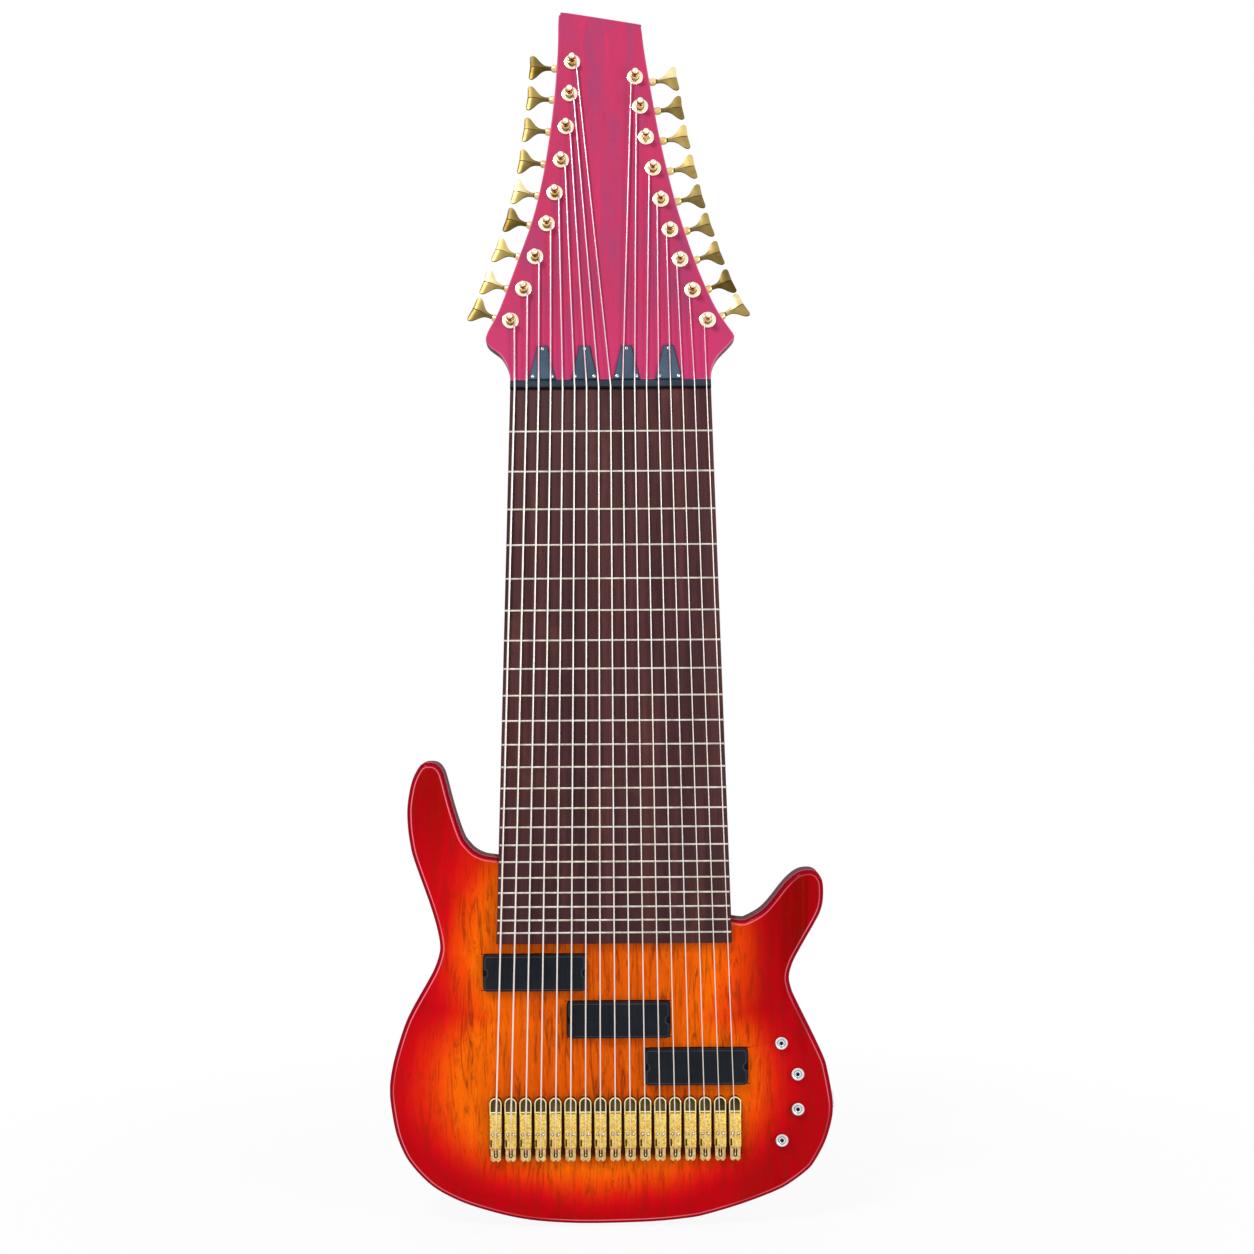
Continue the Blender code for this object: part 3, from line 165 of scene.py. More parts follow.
class Finish:
    """One material: its Principled shader and the nodes that feed it."""

    def __init__(self, name, colour, roughness, metallic=0.0, **uniform):
        self.material = bpy.data.materials.new(name)
        self.material.use_nodes = True
        self.tree = self.material.node_tree
        self.shader = self.tree.nodes["Principled BSDF"]
        self.set("Base Color", shader_colour(colour))
        self.set("Roughness", roughness)
        self.set("Metallic", metallic)
        for words, value in uniform.items():
            self.set(words.replace("_", " ").title().replace("Ior", "IOR"), value)

    def set(self, name, value):
        self.feed(self.shader.inputs[name], value)

    def feed(self, socket, value):
        if isinstance(value, Socket):
            self.tree.links.new(value.socket, socket)
        else:
            socket.default_value = value

    def node(self, kind, settings, inputs, output=0):
        made = self.tree.nodes.new("ShaderNode" + kind)
        for name, value in settings.items():
            setattr(made, name, value)
        for name, value in inputs.items():
            self.feed(made.inputs[name], value)
        return Socket(self, made.outputs[output])

    def place(self):
        """Object coordinates, and their three parts."""
        point = self.node("TexCoord", {}, {}, "Object")
        return point, *(self.node("SeparateXYZ", {}, {0: point}, axis) for axis in range(3))

    def stretched(self, point, scale, turn=(0.0, 0.0, 0.0)):
        return self.node("Mapping", {}, {"Vector": point, "Scale": scale, "Rotation": turn})

    def noise(self, point, size, detail=3.0, roughness=0.55, distortion=0.0):
        return self.node("TexNoise", {}, {"Vector": point, "Scale": size, "Detail": detail,
                                          "Roughness": roughness, "Distortion": distortion})

    def ramp(self, value, *stops):
        """Colours along a value, from (place, colour) pairs."""
        made = self.node("ValToRGB", {}, {0: value})
        elements = made.socket.node.color_ramp.elements
        while len(elements) < len(stops):
            elements.new(0.5)
        for element, (place, colour) in zip(elements, stops):
            element.position = place
            element.color = shader_colour(colour)
        return made

    def mix(self, share, under, over):
        """A share of one colour laid over what lies under it."""
        return self.node("Mix", {"data_type": "RGBA"}, {0: share, 6: under, 7: shader_colour(over)}, 2)

    def relief(self, height, depth, strength=1.0):
        """Bump of a real depth, in metres."""
        bump = self.node("Bump", {}, {"Height": height, "Distance": depth, "Strength": strength})
        self.set("Normal", bump)


# The top's amber fields: middle and reach along X and Z in mm, and strength
AMBER_FIELDS = (((-20, -795), (246, 152), 1.0), ((-18, -648), (208, 205), 1.0),
                ((-150, -600), (82, 156), 0.24))
# Painted shade on the top round the row of bridges, where their shadows fall between them: its middle, and
# where it ends above and beside that
BRIDGE_ROW = -849.1 * MM
SHADE_UP = (26 * MM, 33 * MM)
SHADE_ASIDE = (143 * MM, 147 * MM)
# Where the deeper crimson of the treble rim and of the horns sets in
TREBLE_RIM = (130 * MM, 220 * MM)
UP_THE_BODY = (-800 * MM, -620 * MM)
UP_THE_HORNS = (-600 * MM, -450 * MM)
# Depths at which the rim's painted highlight, a bright pink line on the rounding, and its crimson edge start
# and end
HIGHLIGHT_LINE_START = (9.15 * MM, 9.35 * MM)
HIGHLIGHT_LINE_END = (9.6 * MM, 9.85 * MM)
EDGE_START = (9.8 * MM, 10.6 * MM)


def sunburst_lacquer():
    """Figured top: amber in the middle, through red to crimson at the rim, under clear gloss. Shade round the
    bridges and a highlight line along the rim are painted in.
    """
    top = Finish("sunburst_lacquer", (200, 40, 20), 0.14, specular_ior_level=0.03)
    point, x, depth, z = top.place()
    warp = top.noise(point, 6.0, 2.0)
    inside = None
    for (middle_x, middle_z), (wide, high), share in AMBER_FIELDS:
        aside = (x - middle_x * MM) / (wide * MM)
        along = (z - middle_z * MM) / (high * MM)
        reach = (1.0 - (aside ** 2.0 + along ** 2.0) ** 0.5) * share
        inside = reach if inside is None else inside.most(reach)
    bands = top.noise(top.stretched(point, (22.0, 22.0, 2.6), (0.0, 0.05, 0.0)), 1.0, 4.0, 0.6, 0.8)
    inside = inside + (warp - 0.5) * 0.1 + (bands - 0.5) * 0.24
    burst = top.ramp(inside, (0.0, (188, 3, 17)), (0.08, (208, 8, 18)), (0.15, (223, 34, 11)),
                     (0.24, (238, 70, 5)), (0.35, (249, 107, 2)), (0.6, (228, 94, 4)))
    treble_rim = x.rise(*TREBLE_RIM) * z.rise(*UP_THE_BODY).most(0.4)
    horns = treble_rim.most(z.rise(*UP_THE_HORNS) * 0.4)
    deep = horns * (0.5 + bands.rise(0.4, 0.6) * 0.35) + bands.rise(0.44, 0.62) * 0.32
    burst = top.mix(deep * (1.0 - inside.rise(0.1, 0.3)), burst, (132, 0, 2))
    burst = top.mix(bands.rise(0.5, 0.72) * 0.34, burst, (186, 34, 4))
    figure = 0.5 + inside.rise(0.05, 0.32) * 0.5
    streak = top.noise(top.stretched(point, (110.0, 110.0, 13.0), (0.0, 0.1, 0.0)), 1.0, 5.0, 0.66, 2.2)
    burst = top.mix(streak.rise(0.47, 0.7) * figure * 0.72, burst, (112, 30, 6))
    amber = top.noise(top.stretched(point, (150.0, 150.0, 30.0), (0.0, -0.12, 0.0)), 1.0, 4.0, 0.6, 1.2)
    burst = top.mix(amber.rise(0.56, 0.7) * inside.rise(0.14, 0.34) * 0.3, burst, (250, 136, 14))
    fleck = top.noise(top.stretched(point, (420.0, 420.0, 60.0), (0.0, 0.16, 0.0)), 1.0, 3.0, 0.6, 1.4)
    burst = top.mix(fleck.rise(0.54, 0.72) * figure * 0.4, burst, (96, 22, 6))
    # painted shade: the top is darkened round and between the bridges
    bridge_row_painted_shade = (1.0 - (z - BRIDGE_ROW).size().rise(*SHADE_UP)) * (1.0 - x.size().rise(*SHADE_ASIDE))
    burst = top.mix(bridge_row_painted_shade * 0.82, burst, (46, 14, 6))
    burst = top.mix(depth.rise(*EDGE_START), burst, (150, 0, 28))
    # painted highlight: a pink line along the rounded rim, where a lamp's reflection would lie
    painted_highlight = depth.rise(*HIGHLIGHT_LINE_START) * (1.0 - depth.rise(*HIGHLIGHT_LINE_END))
    top.set("Base Color", top.mix(painted_highlight * (0.2 + warp.rise(0.4, 0.58) * 0.7), burst, (248, 128, 146)))
    top.set("Roughness", 0.1 + fleck * 0.08)
    top.relief(top.noise(point, 14.0, 1.0), 0.1 * MM, 0.08)
    return top.material


def side_lacquer():
    """Core of the body: cherry stain over end grain, worn duller than the top."""
    side = Finish("side_lacquer", (96, 42, 48), 0.5, specular_ior_level=0.02)
    point, *_ = side.place()
    grain = side.noise(side.stretched(point, (36.0, 120.0, 5.0)), 1.0, 5.0, 0.6)
    pores = side.noise(side.stretched(point, (300.0, 500.0, 30.0)), 1.0, 2.0)
    colour = side.ramp(grain, (0.3, (78, 34, 42)), (0.7, (122, 66, 70)))
    side.set("Base Color", side.mix(pores.rise(0.55, 0.7) * 0.3, colour, (60, 22, 28)))
    side.set("Roughness", 0.42 + grain * 0.16)
    side.relief(pores, 0.04 * MM, 0.2)
    return side.material


def raspberry_stain():
    """Headstock face: raspberry stain over a veneer with broad upright bands."""
    stain = Finish("raspberry_stain", (190, 56, 98), 0.3, specular_ior_level=0.08)
    point, *_, z = stain.place()
    bands = stain.noise(stain.stretched(point, (58.0, 58.0, 1.6), (0.0, -0.02, 0.0)), 1.0, 4.0, 0.6, 0.4)
    grain = stain.noise(stain.stretched(point, (230.0, 230.0, 5.0)), 1.0, 5.0, 0.65)
    colour = stain.ramp(bands, (0.3, (158, 60, 102)), (0.44, (174, 56, 98)),
                        (0.54, (184, 52, 93)), (0.7, (193, 53, 96)))
    colour = stain.mix(grain.rise(0.54, 0.74) * 0.4, colour, (132, 48, 88))
    near_nut = 1.0 - z.rise(30 * MM, 120 * MM)
    colour = stain.mix(near_nut * 0.7, colour, (196, 54, 106))
    pores = stain.noise(stain.stretched(point, (420.0, 420.0, 14.0)), 1.0, 2.0)
    stain.set("Base Color", colour)
    stain.set("Roughness", 0.28 + grain * 0.12)
    stain.relief(pores.rise(0.5, 0.6), 0.04 * MM, 0.2)
    return stain.material


def umber_stain():
    """Neck and the edges of the headstock: dark red-brown satin over maple."""
    stain = Finish("umber_stain", (104, 40, 48), 0.36, specular_ior_level=0.12)
    point, *_ = stain.place()
    grain = stain.noise(stain.stretched(point, (90.0, 90.0, 3.0)), 1.0, 5.0, 0.6)
    laminate = stain.noise(stain.stretched(point, (16.0, 1.0, 0.2)), 1.0, 1.0)
    colour = stain.ramp(grain, (0.3, (88, 30, 40)), (0.7, (120, 50, 56)))
    stain.set("Base Color", stain.mix(laminate.rise(0.45, 0.55) * 0.4, colour, (70, 30, 32)))
    stain.set("Roughness", 0.3 + grain * 0.16)
    return stain.material


def rosewood():
    """Fingerboard: dark red-brown rosewood with long pores."""
    wood = Finish("rosewood", (78, 44, 44), 0.46, specular_ior_level=0.12)
    point, *_ = wood.place()
    bands = wood.noise(wood.stretched(point, (44.0, 44.0, 1.8)), 1.0, 4.0, 0.6, 0.5)
    blotch = wood.noise(wood.stretched(point, (24.0, 24.0, 12.0)), 1.0, 4.0, 0.65, 1.2)
    pores = wood.noise(wood.stretched(point, (340.0, 340.0, 26.0)), 1.0, 3.0, 0.7)
    colour = wood.ramp(bands, (0.3, (52, 28, 31)), (0.5, (69, 38, 40)), (0.7, (90, 51, 51)))
    colour = wood.mix(blotch.rise(0.5, 0.75) * 0.4, colour, (106, 63, 57))
    colour = wood.mix(pores.rise(0.54, 0.72) * 0.5, colour, (40, 20, 22))
    wood.set("Base Color", colour)
    wood.set("Roughness", 0.42 + pores * 0.14)
    wood.relief(pores.rise(0.5, 0.7), 0.08 * MM, -0.4)
    return wood.material


def plated(name, dull, bright, roughness, mottle=80.0, hammered=0.0):
    """Plated or polished metal: its tone and gloss change slightly with wear."""
    metal = Finish(name, bright, roughness, 1.0)
    point, *_ = metal.place()
    wear = metal.noise(point, mottle, 4.0, 0.6)
    metal.set("Base Color", metal.ramp(wear, (0.34, dull), (0.62, bright)))
    metal.set("Roughness", roughness - 0.04 + wear * 0.1)
    if hammered:
        dents = metal.noise(point, mottle * 6.0, 2.0, 0.5)
        metal.relief(dents, hammered, 0.6)
    return metal.material


def wound_nickel():
    """Round-wound string: fine turns across a bright wire, with painted reflections: gold over the bridges,
    darker pink over the headstock.
    """
    metal = Finish("wound_nickel", (232, 224, 216), 0.28, 1.0)
    point, *_, z = metal.place()
    turns = metal.node("TexWave", {"bands_direction": "Z"}, {"Vector": point, "Scale": 420.0})
    tarnish = metal.noise(metal.stretched(point, (30.0, 30.0, 9.0)), 1.0, 3.0)
    tone_and_reflection = metal.ramp(tarnish, (0.3, (250, 242, 232)), (0.7, (255, 254, 250)))
    # painted reflection: the gold of the bridges on the strings down by the bridge row, and the headstock's
    # pink on the strings over the head
    above_bridges = z.rise(-840 * MM, -828 * MM)
    head_reflection_share = z.rise(0.0, 30 * MM)
    tone_and_reflection = metal.mix(0.6 - above_bridges * 0.6, tone_and_reflection, (248, 214, 128))
    metal.set("Base Color", metal.mix(head_reflection_share, tone_and_reflection, (214, 178, 190)))
    metal.set("Roughness", 0.24 + tarnish * 0.12)
    metal.relief(turns, 0.04 * MM, 0.05)
    return metal.material


def moulded(name, dark, light, roughness, speckle=1400.0):
    """Moulded plastic with a fine satin skin."""
    plastic = Finish(name, dark, roughness, specular_ior_level=0.1)
    point, *_ = plastic.place()
    skin = plastic.noise(point, speckle, 2.0)
    cloud = plastic.noise(point, 30.0, 3.0)
    plastic.set("Base Color", plastic.ramp(cloud, (0.35, dark), (0.65, light)))
    plastic.set("Roughness", roughness - 0.05 + skin * 0.12)
    plastic.relief(skin, 0.03 * MM, 0.25)
    return plastic.material


SUNBURST = sunburst_lacquer()
SIDE = side_lacquer()
RASPBERRY = raspberry_stain()
UMBER = umber_stain()
# A lighter pink for the headstock's rounded edges: a painted highlight
RASPBERRY_EDGE_HIGHLIGHT = moulded("raspberry_edge_painted_highlight", (204, 76, 120), (222, 104, 144), 0.3)
ROSEWOOD = rosewood()
NICKEL = wound_nickel()
FRET_WIRE = plated("fret_wire", (190, 182, 168), (232, 226, 214), 0.24)
BUSHING_GOLD = plated("pale_polished_gold", (244, 232, 196), (253, 248, 232), 0.14)
POST_GOLD = plated("post_gold", (196, 158, 84), (238, 210, 140), 0.16)
COIL_GOLD = plated("warm_windings", (206, 170, 96), (244, 224, 160), 0.22)
BEAD_GOLD = plated("bead_gold", (222, 186, 112), (246, 224, 168), 0.16)
# Copies of one antique gold for the keys: the pale and warm ones are painted highlight, the shade, deep and
# edge ones painted shade
KEY_HIGHLIGHT_PALE = plated("pale_gold_painted_highlight", (224, 200, 136), (246, 230, 178), 0.26, 40.0)
KEY_HIGHLIGHT_WARM = plated("warm_gold_painted_highlight", (200, 170, 98), (232, 202, 130), 0.28, 40.0)
KEY_GOLD = plated("antique_gold", (150, 128, 72), (172, 149, 90), 0.3, 40.0)
KEY_SHADE = plated("antique_gold_shade", (110, 92, 50), (134, 114, 66), 0.32, 40.0)
KEY_DEEP_SHADE = plated("antique_gold_deep_shade", (70, 54, 20), (104, 84, 36), 0.32, 40.0)
KEY_EDGE_SHADE = plated("gold_edge_painted_shade", (78, 60, 28), (104, 84, 44), 0.4, 60.0)
BRIDGE_GOLD = plated("hammered_gold", (208, 156, 62), (255, 228, 126), 0.26, 460.0, 0.14 * MM)
# Dark bronze for the trays' outer walls: painted shade
TRAY_SIDE_SHADE = plated("tray_side_painted_shade", (74, 44, 14), (104, 66, 22), 0.45, 90.0)
TAIL_GOLD = plated("tail_gold", (204, 166, 96), (244, 220, 156), 0.26, 260.0)
TRAY_RIM = plated("polished_rim", (250, 226, 150), (255, 246, 200), 0.16, 120.0)
# Dark olive for recesses, holes and slots: painted shade
RECESS_SHADE = moulded("recess_painted_shade", (84, 72, 38), (122, 106, 62), 0.5, 200.0)
CHROME = plated("polished_chrome", (214, 216, 222), (244, 246, 250), 0.1, 120.0)
SCREW_STEEL = plated("screw_steel", (196, 200, 208), (246, 248, 252), 0.18, 160.0)
BLACK = moulded("pickup_black", (20, 24, 30), (27, 32, 39), 0.34)
# Lighter grey for the line inside the pickups' rims: a painted highlight
RIM_HIGHLIGHT = moulded("pickup_rim_painted_highlight", (58, 64, 74), (78, 84, 94), 0.3)
SLATE = moulded("slate_plate", (58, 75, 92), (73, 92, 109), 0.36, 600.0)
# Darker slate for the covers' rims and slopes: painted shade
SLATE_RIM_SHADE = moulded("slate_plate_rim_shade", (34, 46, 58), (46, 60, 74), 0.36, 600.0)
NUT_SLATE = moulded("nut_slate", (38, 48, 60), (49, 60, 72), 0.4, 600.0)
JET = moulded("jet", (8, 9, 11), (15, 16, 19), 0.4)
CHROME_SHADE = plated("chrome_shade", (84, 92, 106), (142, 150, 162), 0.2, 120.0)


# Making

SMOOTH_LIMIT = math.radians(30.0)
SHORTEST_CUT = 4 * MM
NEAR = 0.01 * MM


def on_curve(before, start, end, after, t):
    """A point between start and end of a smooth line through four points."""
    return 0.5 * (2 * start + (end - before) * t + (2 * before - 5 * start + 4 * end - after) * t * t
                  + (3 * start - before - 3 * end + after) * t ** 3)


def smooth_line(points, steps):
    """A smooth line through the points given."""
    points = [Vector(point) for point in points]
    points = [2 * points[0] - points[1]] + points + [2 * points[-1] - points[-2]]
    line = []
    for four in zip(points, points[1:], points[2:], points[3:]):
        line += [on_curve(*four, step / steps) for step in range(steps)]
    return line + [points[-2]]


def smooth_rings(bm, axis, cuts=3):
    """Edges that run round a shape, square to an axis, are cut finer and bent smooth. Corners stay."""
    rings = {edge for edge in bm.edges if edge.calc_length() > SHORTEST_CUT
             and abs((edge.verts[0].co - edge.verts[1].co).dot(axis)) < NEAR
             and any(abs(face.normal.dot(axis)) < 0.98 for face in edge.link_faces)}
    spots = []
    for edge in rings:
        ends = []
        first, second = edge.verts
        for near, far in ((first, second), (second, first)):
            ahead = near.co - far.co
            others = [other for other in near.link_edges if other in rings and other is not edge]
            beyond = [other.other_vert(near).co for other in others]
            beyond = [point for point in beyond if ahead.angle(point - near.co) < SMOOTH_LIMIT]
            ends.append(beyond[0] if beyond else near.co + ahead)
        for step in range(1, cuts + 1):
            share = step / (cuts + 1)
            flat = first.co.lerp(second.co, share)
            spots.append((flat, on_curve(ends[0], first.co, second.co, ends[1], share)))
    places = KDTree(len(spots))
    for index, (flat, _) in enumerate(spots):
        places.insert(flat, index)
    places.balance()
    known = set(bm.verts)
    bmesh.ops.subdivide_edges(bm, edges=list(rings), cuts=cuts, use_grid_fill=True)
    for vert in bm.verts:
        if vert not in known:
            _, index, distance = places.find(vert.co)
            if distance < NEAR:
                vert.co = spots[index][1]


def arc(centre, radius, start, end, steps):
    """Points of an arc, angles in degrees, both ends included."""
    angles = (math.radians(start + (end - start) * step / steps) for step in range(steps + 1))
    return [(centre[0] + radius * math.cos(angle), centre[1] + radius * math.sin(angle)) for angle in angles]


def new_object(name, data):
    made = bpy.data.objects.new(name, data)
    bpy.context.scene.collection.objects.link(made)
    return made


def new_mesh(name, bm):
    mesh = bpy.data.meshes.new(name)
    bm.to_mesh(mesh)
    bm.free()
    return mesh


def tidied(bm):
    bmesh.ops.remove_doubles(bm, verts=bm.verts, dist=0.001 * MM)
    bmesh.ops.recalc_face_normals(bm, faces=bm.faces)
    return bm


def painted(bm, finish):
    for face in bm.faces:
        face.material_index = finish
    return bm


def moved(x, y, z=0.0):
    """A move, in mm."""
    return Matrix.Translation((x * MM, y * MM, z * MM))


def turned(profile, sides=32, closed=False):
    """A turned shape about the local Z axis, from (radius, height) pairs in mm."""
    bm = bmesh.new()
    line = [bm.verts.new((radius * MM, 0.0, height * MM)) for radius, height in profile]
    pairs = list(zip(line, line[1:] + line[:1])) if closed else list(zip(line, line[1:]))
    edges = [bm.edges.new(pair) for pair in pairs]
    bmesh.ops.spin(bm, geom=line + edges, cent=(0.0, 0.0, 0.0), axis=(0.0, 0.0, 1.0), dvec=(0.0, 0.0, 0.0),
                   angle=2 * math.pi, steps=sides, use_merge=True, use_duplicate=False)
    return tidied(bm)


def drawn_out(corners, way):
    """A face on the corners given, drawn out to a solid. All in mm."""
    bm = bmesh.new()
    face = bm.faces.new([bm.verts.new([value * MM for value in corner]) for corner in corners])
    drawn = bmesh.ops.extrude_face_region(bm, geom=[face])["geom"]
    far = [item for item in drawn if isinstance(item, bmesh.types.BMVert)]
    bmesh.ops.translate(bm, verts=far, vec=[value * MM for value in way])
    return tidied(bm)


def plate(outline, low, high):
    """A flat shape: an outline drawn up from low to high."""
    return drawn_out([(x, y, low) for x, y in outline], (0.0, 0.0, high - low))


def drawn_across(profile, half):
    """A shape drawn from side to side: its profile is (along, rise) pairs."""
    return drawn_out([(-half, along, rise) for along, rise in profile], (2 * half, 0.0, 0.0))


def softened(bm, radius, chosen, segments=3):
    """The edges that the rule picks by their ends are rounded over. Sizes in mm."""
    edges = [edge for edge in bm.edges if chosen(*(vert.co / MM for vert in edge.verts))]
    bmesh.ops.bevel(bm, geom=edges, offset=radius * MM, segments=segments, profile=0.5, affect="EDGES",
                    material=-1, clamp_overlap=True)
    return bm


def at_level(level):
    """A rule for softened: both ends lie at that height."""
    return lambda first, second: abs(first.z - level) < 0.01 and abs(second.z - level) < 0.01


def shaped_tube(sides, count, place):
    """A closed tube of rings whose points a rule puts in place, by ring and angle."""
    bm = bmesh.new()
    bmesh.ops.create_circle(bm, segments=sides, radius=1.0)
    rim = list(bm.edges)
    for _ in range(count - 1):
        drawn = bmesh.ops.extrude_edge_only(bm, edges=rim)["geom"]
        rim = [item for item in drawn if isinstance(item, bmesh.types.BMEdge)]
        bmesh.ops.translate(bm, verts=[item for item in drawn if isinstance(item, bmesh.types.BMVert)],
                            vec=(0.0, 0.0, 1.0))
    bmesh.ops.holes_fill(bm, edges=bm.edges, sides=sides)
    for vert in bm.verts:
        vert.co = place(round(vert.co.z), math.atan2(vert.co.y, vert.co.x))
    return tidied(bm)


def framed(bm, width):
    """The flat top gets a rim of a width in mm. The rim and all that slopes take the second finish, a darker
    one: painted shade along the edges.
    """
    top = [face for face in bm.faces if face.normal.z > 0.98]
    rim = bmesh.ops.inset_region(bm, faces=top, thickness=width * MM, use_even_offset=True)["faces"]
    for face in bm.faces:
        if face in rim or face.normal.z < 0.98:
            face.material_index = 1
    return bm


# A cut keeps the number of a face's finish only where both meshes have that many finishes
STAND_IN_FINISHES = (BRIDGE_GOLD,) * 6


def shape_object(bm, index):
    for face in bm.faces:
        face.material_index = max(face.material_index, index)
    mesh = new_mesh("shape", bm)
    for finish in STAND_IN_FINISHES:
        mesh.materials.append(finish)
    return new_object("shape", mesh)


def carved(bm, cutter, finish=1, operation="DIFFERENCE"):
    """A shape with another cut from it or joined to it, whose faces take the finish of that number."""
    target = shape_object(bm, 0)
    tool = shape_object(cutter, finish)
    step = target.modifiers.new("carve", "BOOLEAN")
    step.operation = operation
    step.solver = "EXACT"
    step.object = tool
    graph = bpy.context.evaluated_depsgraph_get()
    result = bpy.data.meshes.new_from_object(target.evaluated_get(graph))
    made = bmesh.new()
    made.from_mesh(result)
    for shape in (target, tool):
        bpy.data.meshes.remove(shape.data)
    bpy.data.meshes.remove(result)
    return made


def gathered(shapes, places):
    """Shapes, each moved to its own place, as one."""
    whole = bmesh.new()
    for shape, place in zip(shapes, places):
        mesh = bpy.data.meshes.new("copy")
        shape.to_mesh(mesh)
        mesh.transform(place)
        whole.from_mesh(mesh)
        bpy.data.meshes.remove(mesh)
    return whole


def keep(name, bm, finishes, body="instrument", slot="gold", angle=38.0, replaces=(), place=None):
    """A finished piece, smooth but for its sharp edges, which moves with the body that carries it."""
    mesh = new_mesh(name, bm)
    if place:
        mesh.transform(place)
    for finish in finishes:
        mesh.materials.append(finish)
    mesh.shade_smooth()
    mesh.set_sharp_from_angle(angle=math.radians(angle))
    piece = new_object(name, mesh)
    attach(piece, body)
    if replaces:
        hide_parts(*replaces)
    return piece


def skin(node, finishes, slot, paint=None, across=None):
    """A merged copy of a frame node in its place: even shading, a finish for each face and smooth rings."""
    bm = bmesh.new()
    bm.from_mesh(frame["nodes"][node].data)
    bmesh.ops.remove_doubles(bm, verts=bm.verts, dist=0.001 * MM)
    bmesh.ops.dissolve_limit(bm, angle_limit=math.radians(0.3), verts=bm.verts, edges=bm.edges)
    if across:
        smooth_rings(bm, across)
        box = list(zip(*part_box(node)))
        for vert in bm.verts:
            vert.co = [min(max(value, low), high) for value, (low, high) in zip(vert.co, box)]
    for face in bm.faces:
        face.material_index = paint(face) if paint else 0
    body = frame["nodes"][node]["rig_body"]
    piece = keep(node + "_skin", bm, finishes, body, slot, 40.0, (node,))
    even = piece.modifiers.new("even_shading", "WEIGHTED_NORMAL")
    even.keep_sharp = True


# Places, read from the frame

PLACES = {joint["name"]: (Vector(joint["pos_m"]), Vector(joint["axis"])) for joint in frame["joints"]}


def turning_place(name, viewer):
    """Local axes of a turning piece: its own axis as Z, and Y towards the viewer's side."""
    centre, axis = PLACES[name + "_turn"]
    z = axis.normalized()
    y = (viewer - z * viewer.dot(z)).normalized()
    x = y.cross(z)
    return Matrix.Translation(centre) @ Matrix((x, y, z)).transposed().to_4x4()


TUNERS = [f"{row}_{number}" for row in ("bass", "treble") for number in range(1, 10)]
SPARE_POST = 7


def string_x(index, z):
    pitch = NUT_PITCH - (SADDLE_PITCH - NUT_PITCH) * z / SCALE_LENGTH
    return (index - (STRING_COUNT - 1) / 2) * pitch


def string_radius(index):
    return BASS_RADIUS + (TREBLE_RADIUS - BASS_RADIUS) * index / (STRING_COUNT - 1)


def string_tuner(index):
    """The tuning machine that a string winds on."""
    if index < 9:
        return f"bass_{index + 1}"
    number = STRING_COUNT - index
    return f"treble_{number + 1 if number >= SPARE_POST else number}"


# Wood

POSTS_ON_FACE = [HEAD_BACK @ PLACES[f"tuner_post_{name}_turn"][0] / MM for name in TUNERS]
# The headstock in mm: where its stain starts, where the machines' fixed halves start, and its faces and bores
STAIN_FROM = -3.0
MACHINES_FROM = 40.0
WOOD_BACK = -16.05
WOOD_FACE = 0.05
BORE = 5.2
STAINED, BARE, METAL, ROUNDED_HIGHLIGHT = range(4)
NUT_HALF = string_x(STRING_COUNT - 1, 0.0) / MM + 5.2


def paint_neck(face):
    """Face of the headstock, its rounded edge with a painted highlight, the rest of the wood, or the
    machines' fixed halves.
    """
    middle = HEAD_BACK @ face.calc_center_median() / MM
    if middle.y > MACHINES_FROM:
        near = min((middle - post).xy.length for post in POSTS_ON_FACE)
        if middle.z > WOOD_FACE or middle.z < WOOD_BACK or near < BORE:
            return METAL
    facing = face.normal.dot(TOWARDS_VIEWER)
    if middle.y > STAIN_FROM and facing > 0.4:
        return STAINED if facing > 0.97 else ROUNDED_HIGHLIGHT
    return BARE


def make_wood():
    finishes = (RASPBERRY, UMBER, POST_GOLD, RASPBERRY_EDGE_HIGHLIGHT)
    skin("neck", finishes, "raspberry_headstock", paint_neck, across=TOWARDS_VIEWER)
    for node, finish, slot in (("body_top", SUNBURST, "cherry_sunburst"), ("body", SIDE, "dark_cherry")):
        skin(node, (finish,), slot, across=ACROSS_THE_BODY)


def make_fingerboard():
    """The board with its eased edges, and 22 crowned frets with their ends filed back."""
    low, high = (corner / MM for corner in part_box("fingerboard"))
    outline = ((-NUT_HALF, 0.0), (-high.x, low.z), (high.x, low.z), (NUT_HALF, 0.0))
    board = softened(plate(outline, -6.5, 0.0), 0.5, at_level(0.0), 2)
    keep("board", board, (ROSEWOOD,), slot="rosewood", replaces=("fingerboard",), place=FRONT)
    crown = [(1.3 * x, FRET_HEIGHT / MM * up) for x, up in arc((0.0, 0.0), 1.0, 180.0, 0.0, 8)]
    section = [(-1.3, -0.3), *crown, (1.3, -0.3)]
    past_last_string = 4.9
    slope_of_ends = 0.7
    frets = []
    places = []
    for number in range(1, FRET_COUNT + 1):
        z = -SCALE_LENGTH * (1.0 - 2.0 ** (-number / 12.0))
        fret = drawn_across(section, string_x(STRING_COUNT - 1, z) / MM + past_last_string)
        for vert in fret.verts:
            vert.co.x -= math.copysign(max(vert.co.z, 0.0) * slope_of_ends, vert.co.x)
        frets.append(fret)
        places.append(Matrix.Translation((0.0, z, 0.0)))
    keep("frets", gathered(frets, places), (FRET_WIRE,), slot="string_steel", place=FRONT, angle=50.0)


# Strings, nut and bridges

# Height of the saddle over the bridge's foot, and how deep a string sits in it, in mm
SADDLE_CREST = 14.55
SADDLE_DIP = 0.1
POST_REACH = 3.6 * MM
WINDINGS_FROM = 4.5 * MM
WINDINGS_HEIGHT = 5.2 * MM
STEPS_A_TURN = 18


